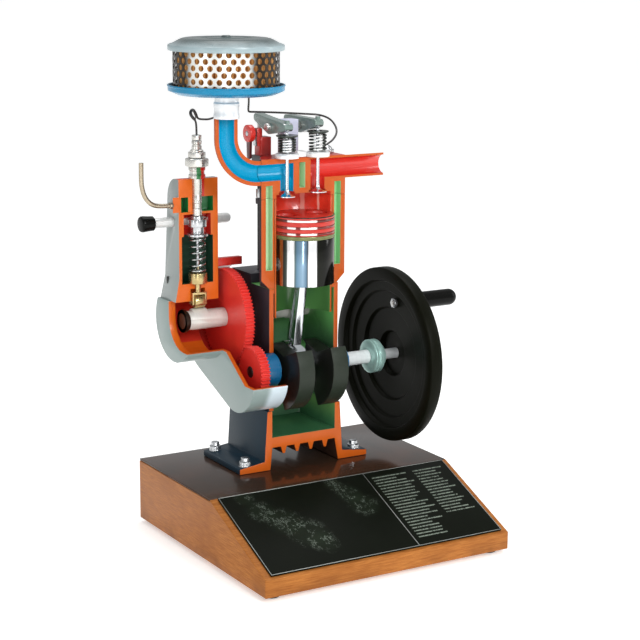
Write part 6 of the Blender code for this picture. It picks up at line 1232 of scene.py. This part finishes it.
feedLook = {"radius": 3.0, "left": -144.0, "z": 342.0,
            "route": ((-50.8, 56), (-51, 40), (-50.8, 27), (-47, 13), (-38, 3), (-26, 0), (-8.3, 0))}  # along, rise
left = feedLook["left"]
feedRoute = [(left + along, camY, feedLook["z"] + rise) for along, rise in feedLook["route"]]
settle(wirePiece("fuelPipe", feedRoute, feedLook["radius"], pipePale, 4), "frame", "fuel_inlet_pipe")
nippleRings = steps(4.5, left, (-0.9, -13.3), (0, -12.7), (0, -8.9), (-0.6, -8.3))
nipple = lathe("fuelNipple", nippleRings, pipePale, "X", (0, camY, feedLook["z"]), 6)
place(nipple, "frame", "steel", None, 0.2, 2, 20)

injectorLook = {"spot": (45.5, 28, 0), "radius": 7.5, "tip": 3.8, "shoulder": headTop + 6, "hex": 10.0,
                "hexLow": headTop + 0.4}
low, high = span("injector")
nozzleRings = [(injectorLook["radius"], low.z),
               *steps(injectorLook["radius"], injectorLook["shoulder"], (0, 0), (-0.5, 0.6), (-0.5, 1.4)),
               (injectorLook["tip"], high.z)]
nozzle = lathe("injectorBody", nozzleRings, steel, spot=injectorLook["spot"], sides=48)
place(nozzle, "frame", "steel", "injector", 0.2, 2)
hexRings = steps(injectorLook["hex"], injectorLook["hexLow"], (-0.8, 0), (0, 0.5), (0, 4.4), (-0.8, 4.9))
hexRing = lathe("injectorHex", hexRings, steel, spot=injectorLook["spot"], sides=6)
place(hexRing, "frame", "steel", None, 0.25, 2, 20)
print("pipes and injector done")

# Floor, lights and camera
stageLook = {"floor": (244, 244, 242), "world": 0.5, "reach": 40, "glow": 0.56, "nearGlow": 0.75,
             "fadeStart": 1000, "fadeLength": 2200}  # the fade is in millimetres from the engine


def floorFinish(name, look):
    paint = Paint(name, gloss=0.2, glow=look["glow"])
    spots = paint.spots()
    cloud = paint.noise(spots, 0.002, 2)
    paint.put("Base Color", paint.blend(cloud, tint(*look["floor"], 0.99), tint(*look["floor"], 1.01)))
    paint.put("Roughness", cloud * 0.1 + 0.6)
    away = paint.node("VectorMath", {"operation": "LENGTH"}, {0: spots}, 1)
    near = (look["nearGlow"], look["nearGlow"], look["nearGlow"], 1)
    fade = (away - look["fadeStart"]) / look["fadeLength"]
    paint.put("Emission Color", paint.blend(fade, near, (1, 1, 1, 1)))
    return paint.material


pickNone()
bpy.ops.mesh.primitive_circle_add(vertices=96, radius=stageLook["reach"], fill_type="NGON", location=(0, 0, -0.0005))
floor = bpy.context.object
floor.name = "studioFloor"
floor.data.materials.append(floorFinish("paleFloor", stageLook))

world = bpy.data.worlds.new("studioWorld")
world.use_nodes = True
world.node_tree.nodes["Background"].inputs["Color"].default_value = (0.97, 0.985, 1.0, 1)
world.node_tree.nodes["Background"].inputs["Strength"].default_value = stageLook["world"]
bpy.context.scene.world = world

lamps = {"key": {"at": (0.1, -2.5, 1.6), "size": (0.9, 0.9), "power": 38},
         "side": {"at": (2.1, -0.8, 1.1), "size": (0.35, 1.3), "power": 9},
         "top": {"at": (0.2, 0.5, 2.3), "size": (1.6, 1.6), "power": 22},
         "frontStrip": {"at": (-1.15, -1.85, 0.45), "size": (0.16, 1.5), "power": 7},
         "leftStrip": {"at": (-2.3, -0.55, 0.5), "size": (0.2, 1.5), "power": 5}}
aimHeight = 0.28
for name, lamp in lamps.items():
    light = bpy.data.lights.new(name, "AREA")
    light.shape = "RECTANGLE"
    light.size, light.size_y = lamp["size"]
    light.energy = lamp["power"]
    holder = bpy.data.objects.new(name, light)
    bpy.context.scene.collection.objects.link(holder)
    holder.location = lamp["at"]
    aim = Vector((0, 0, aimHeight)) - holder.location
    holder.rotation_euler = aim.to_track_quat("-Z", "Y").to_euler()

cameraLook = {"place": (-1101.5, -1877.6, 663.3), "turn": (77.8102, -0.3687, -30.793), "lens": 97.893, "film": 36}
view = bpy.data.cameras.new("photoView")
view.sensor_width = cameraLook["film"]
view.lens = cameraLook["lens"]
view.clip_end = 200
viewer = bpy.data.objects.new("photoView", view)
bpy.context.scene.collection.objects.link(viewer)
viewer.location = spotAt(*cameraLook["place"])
viewer.rotation_euler = [math.radians(value) for value in cameraLook["turn"]]
bpy.context.scene.camera = viewer
bpy.context.scene.view_settings.view_transform = "Standard"
print("stage, lights and camera done")
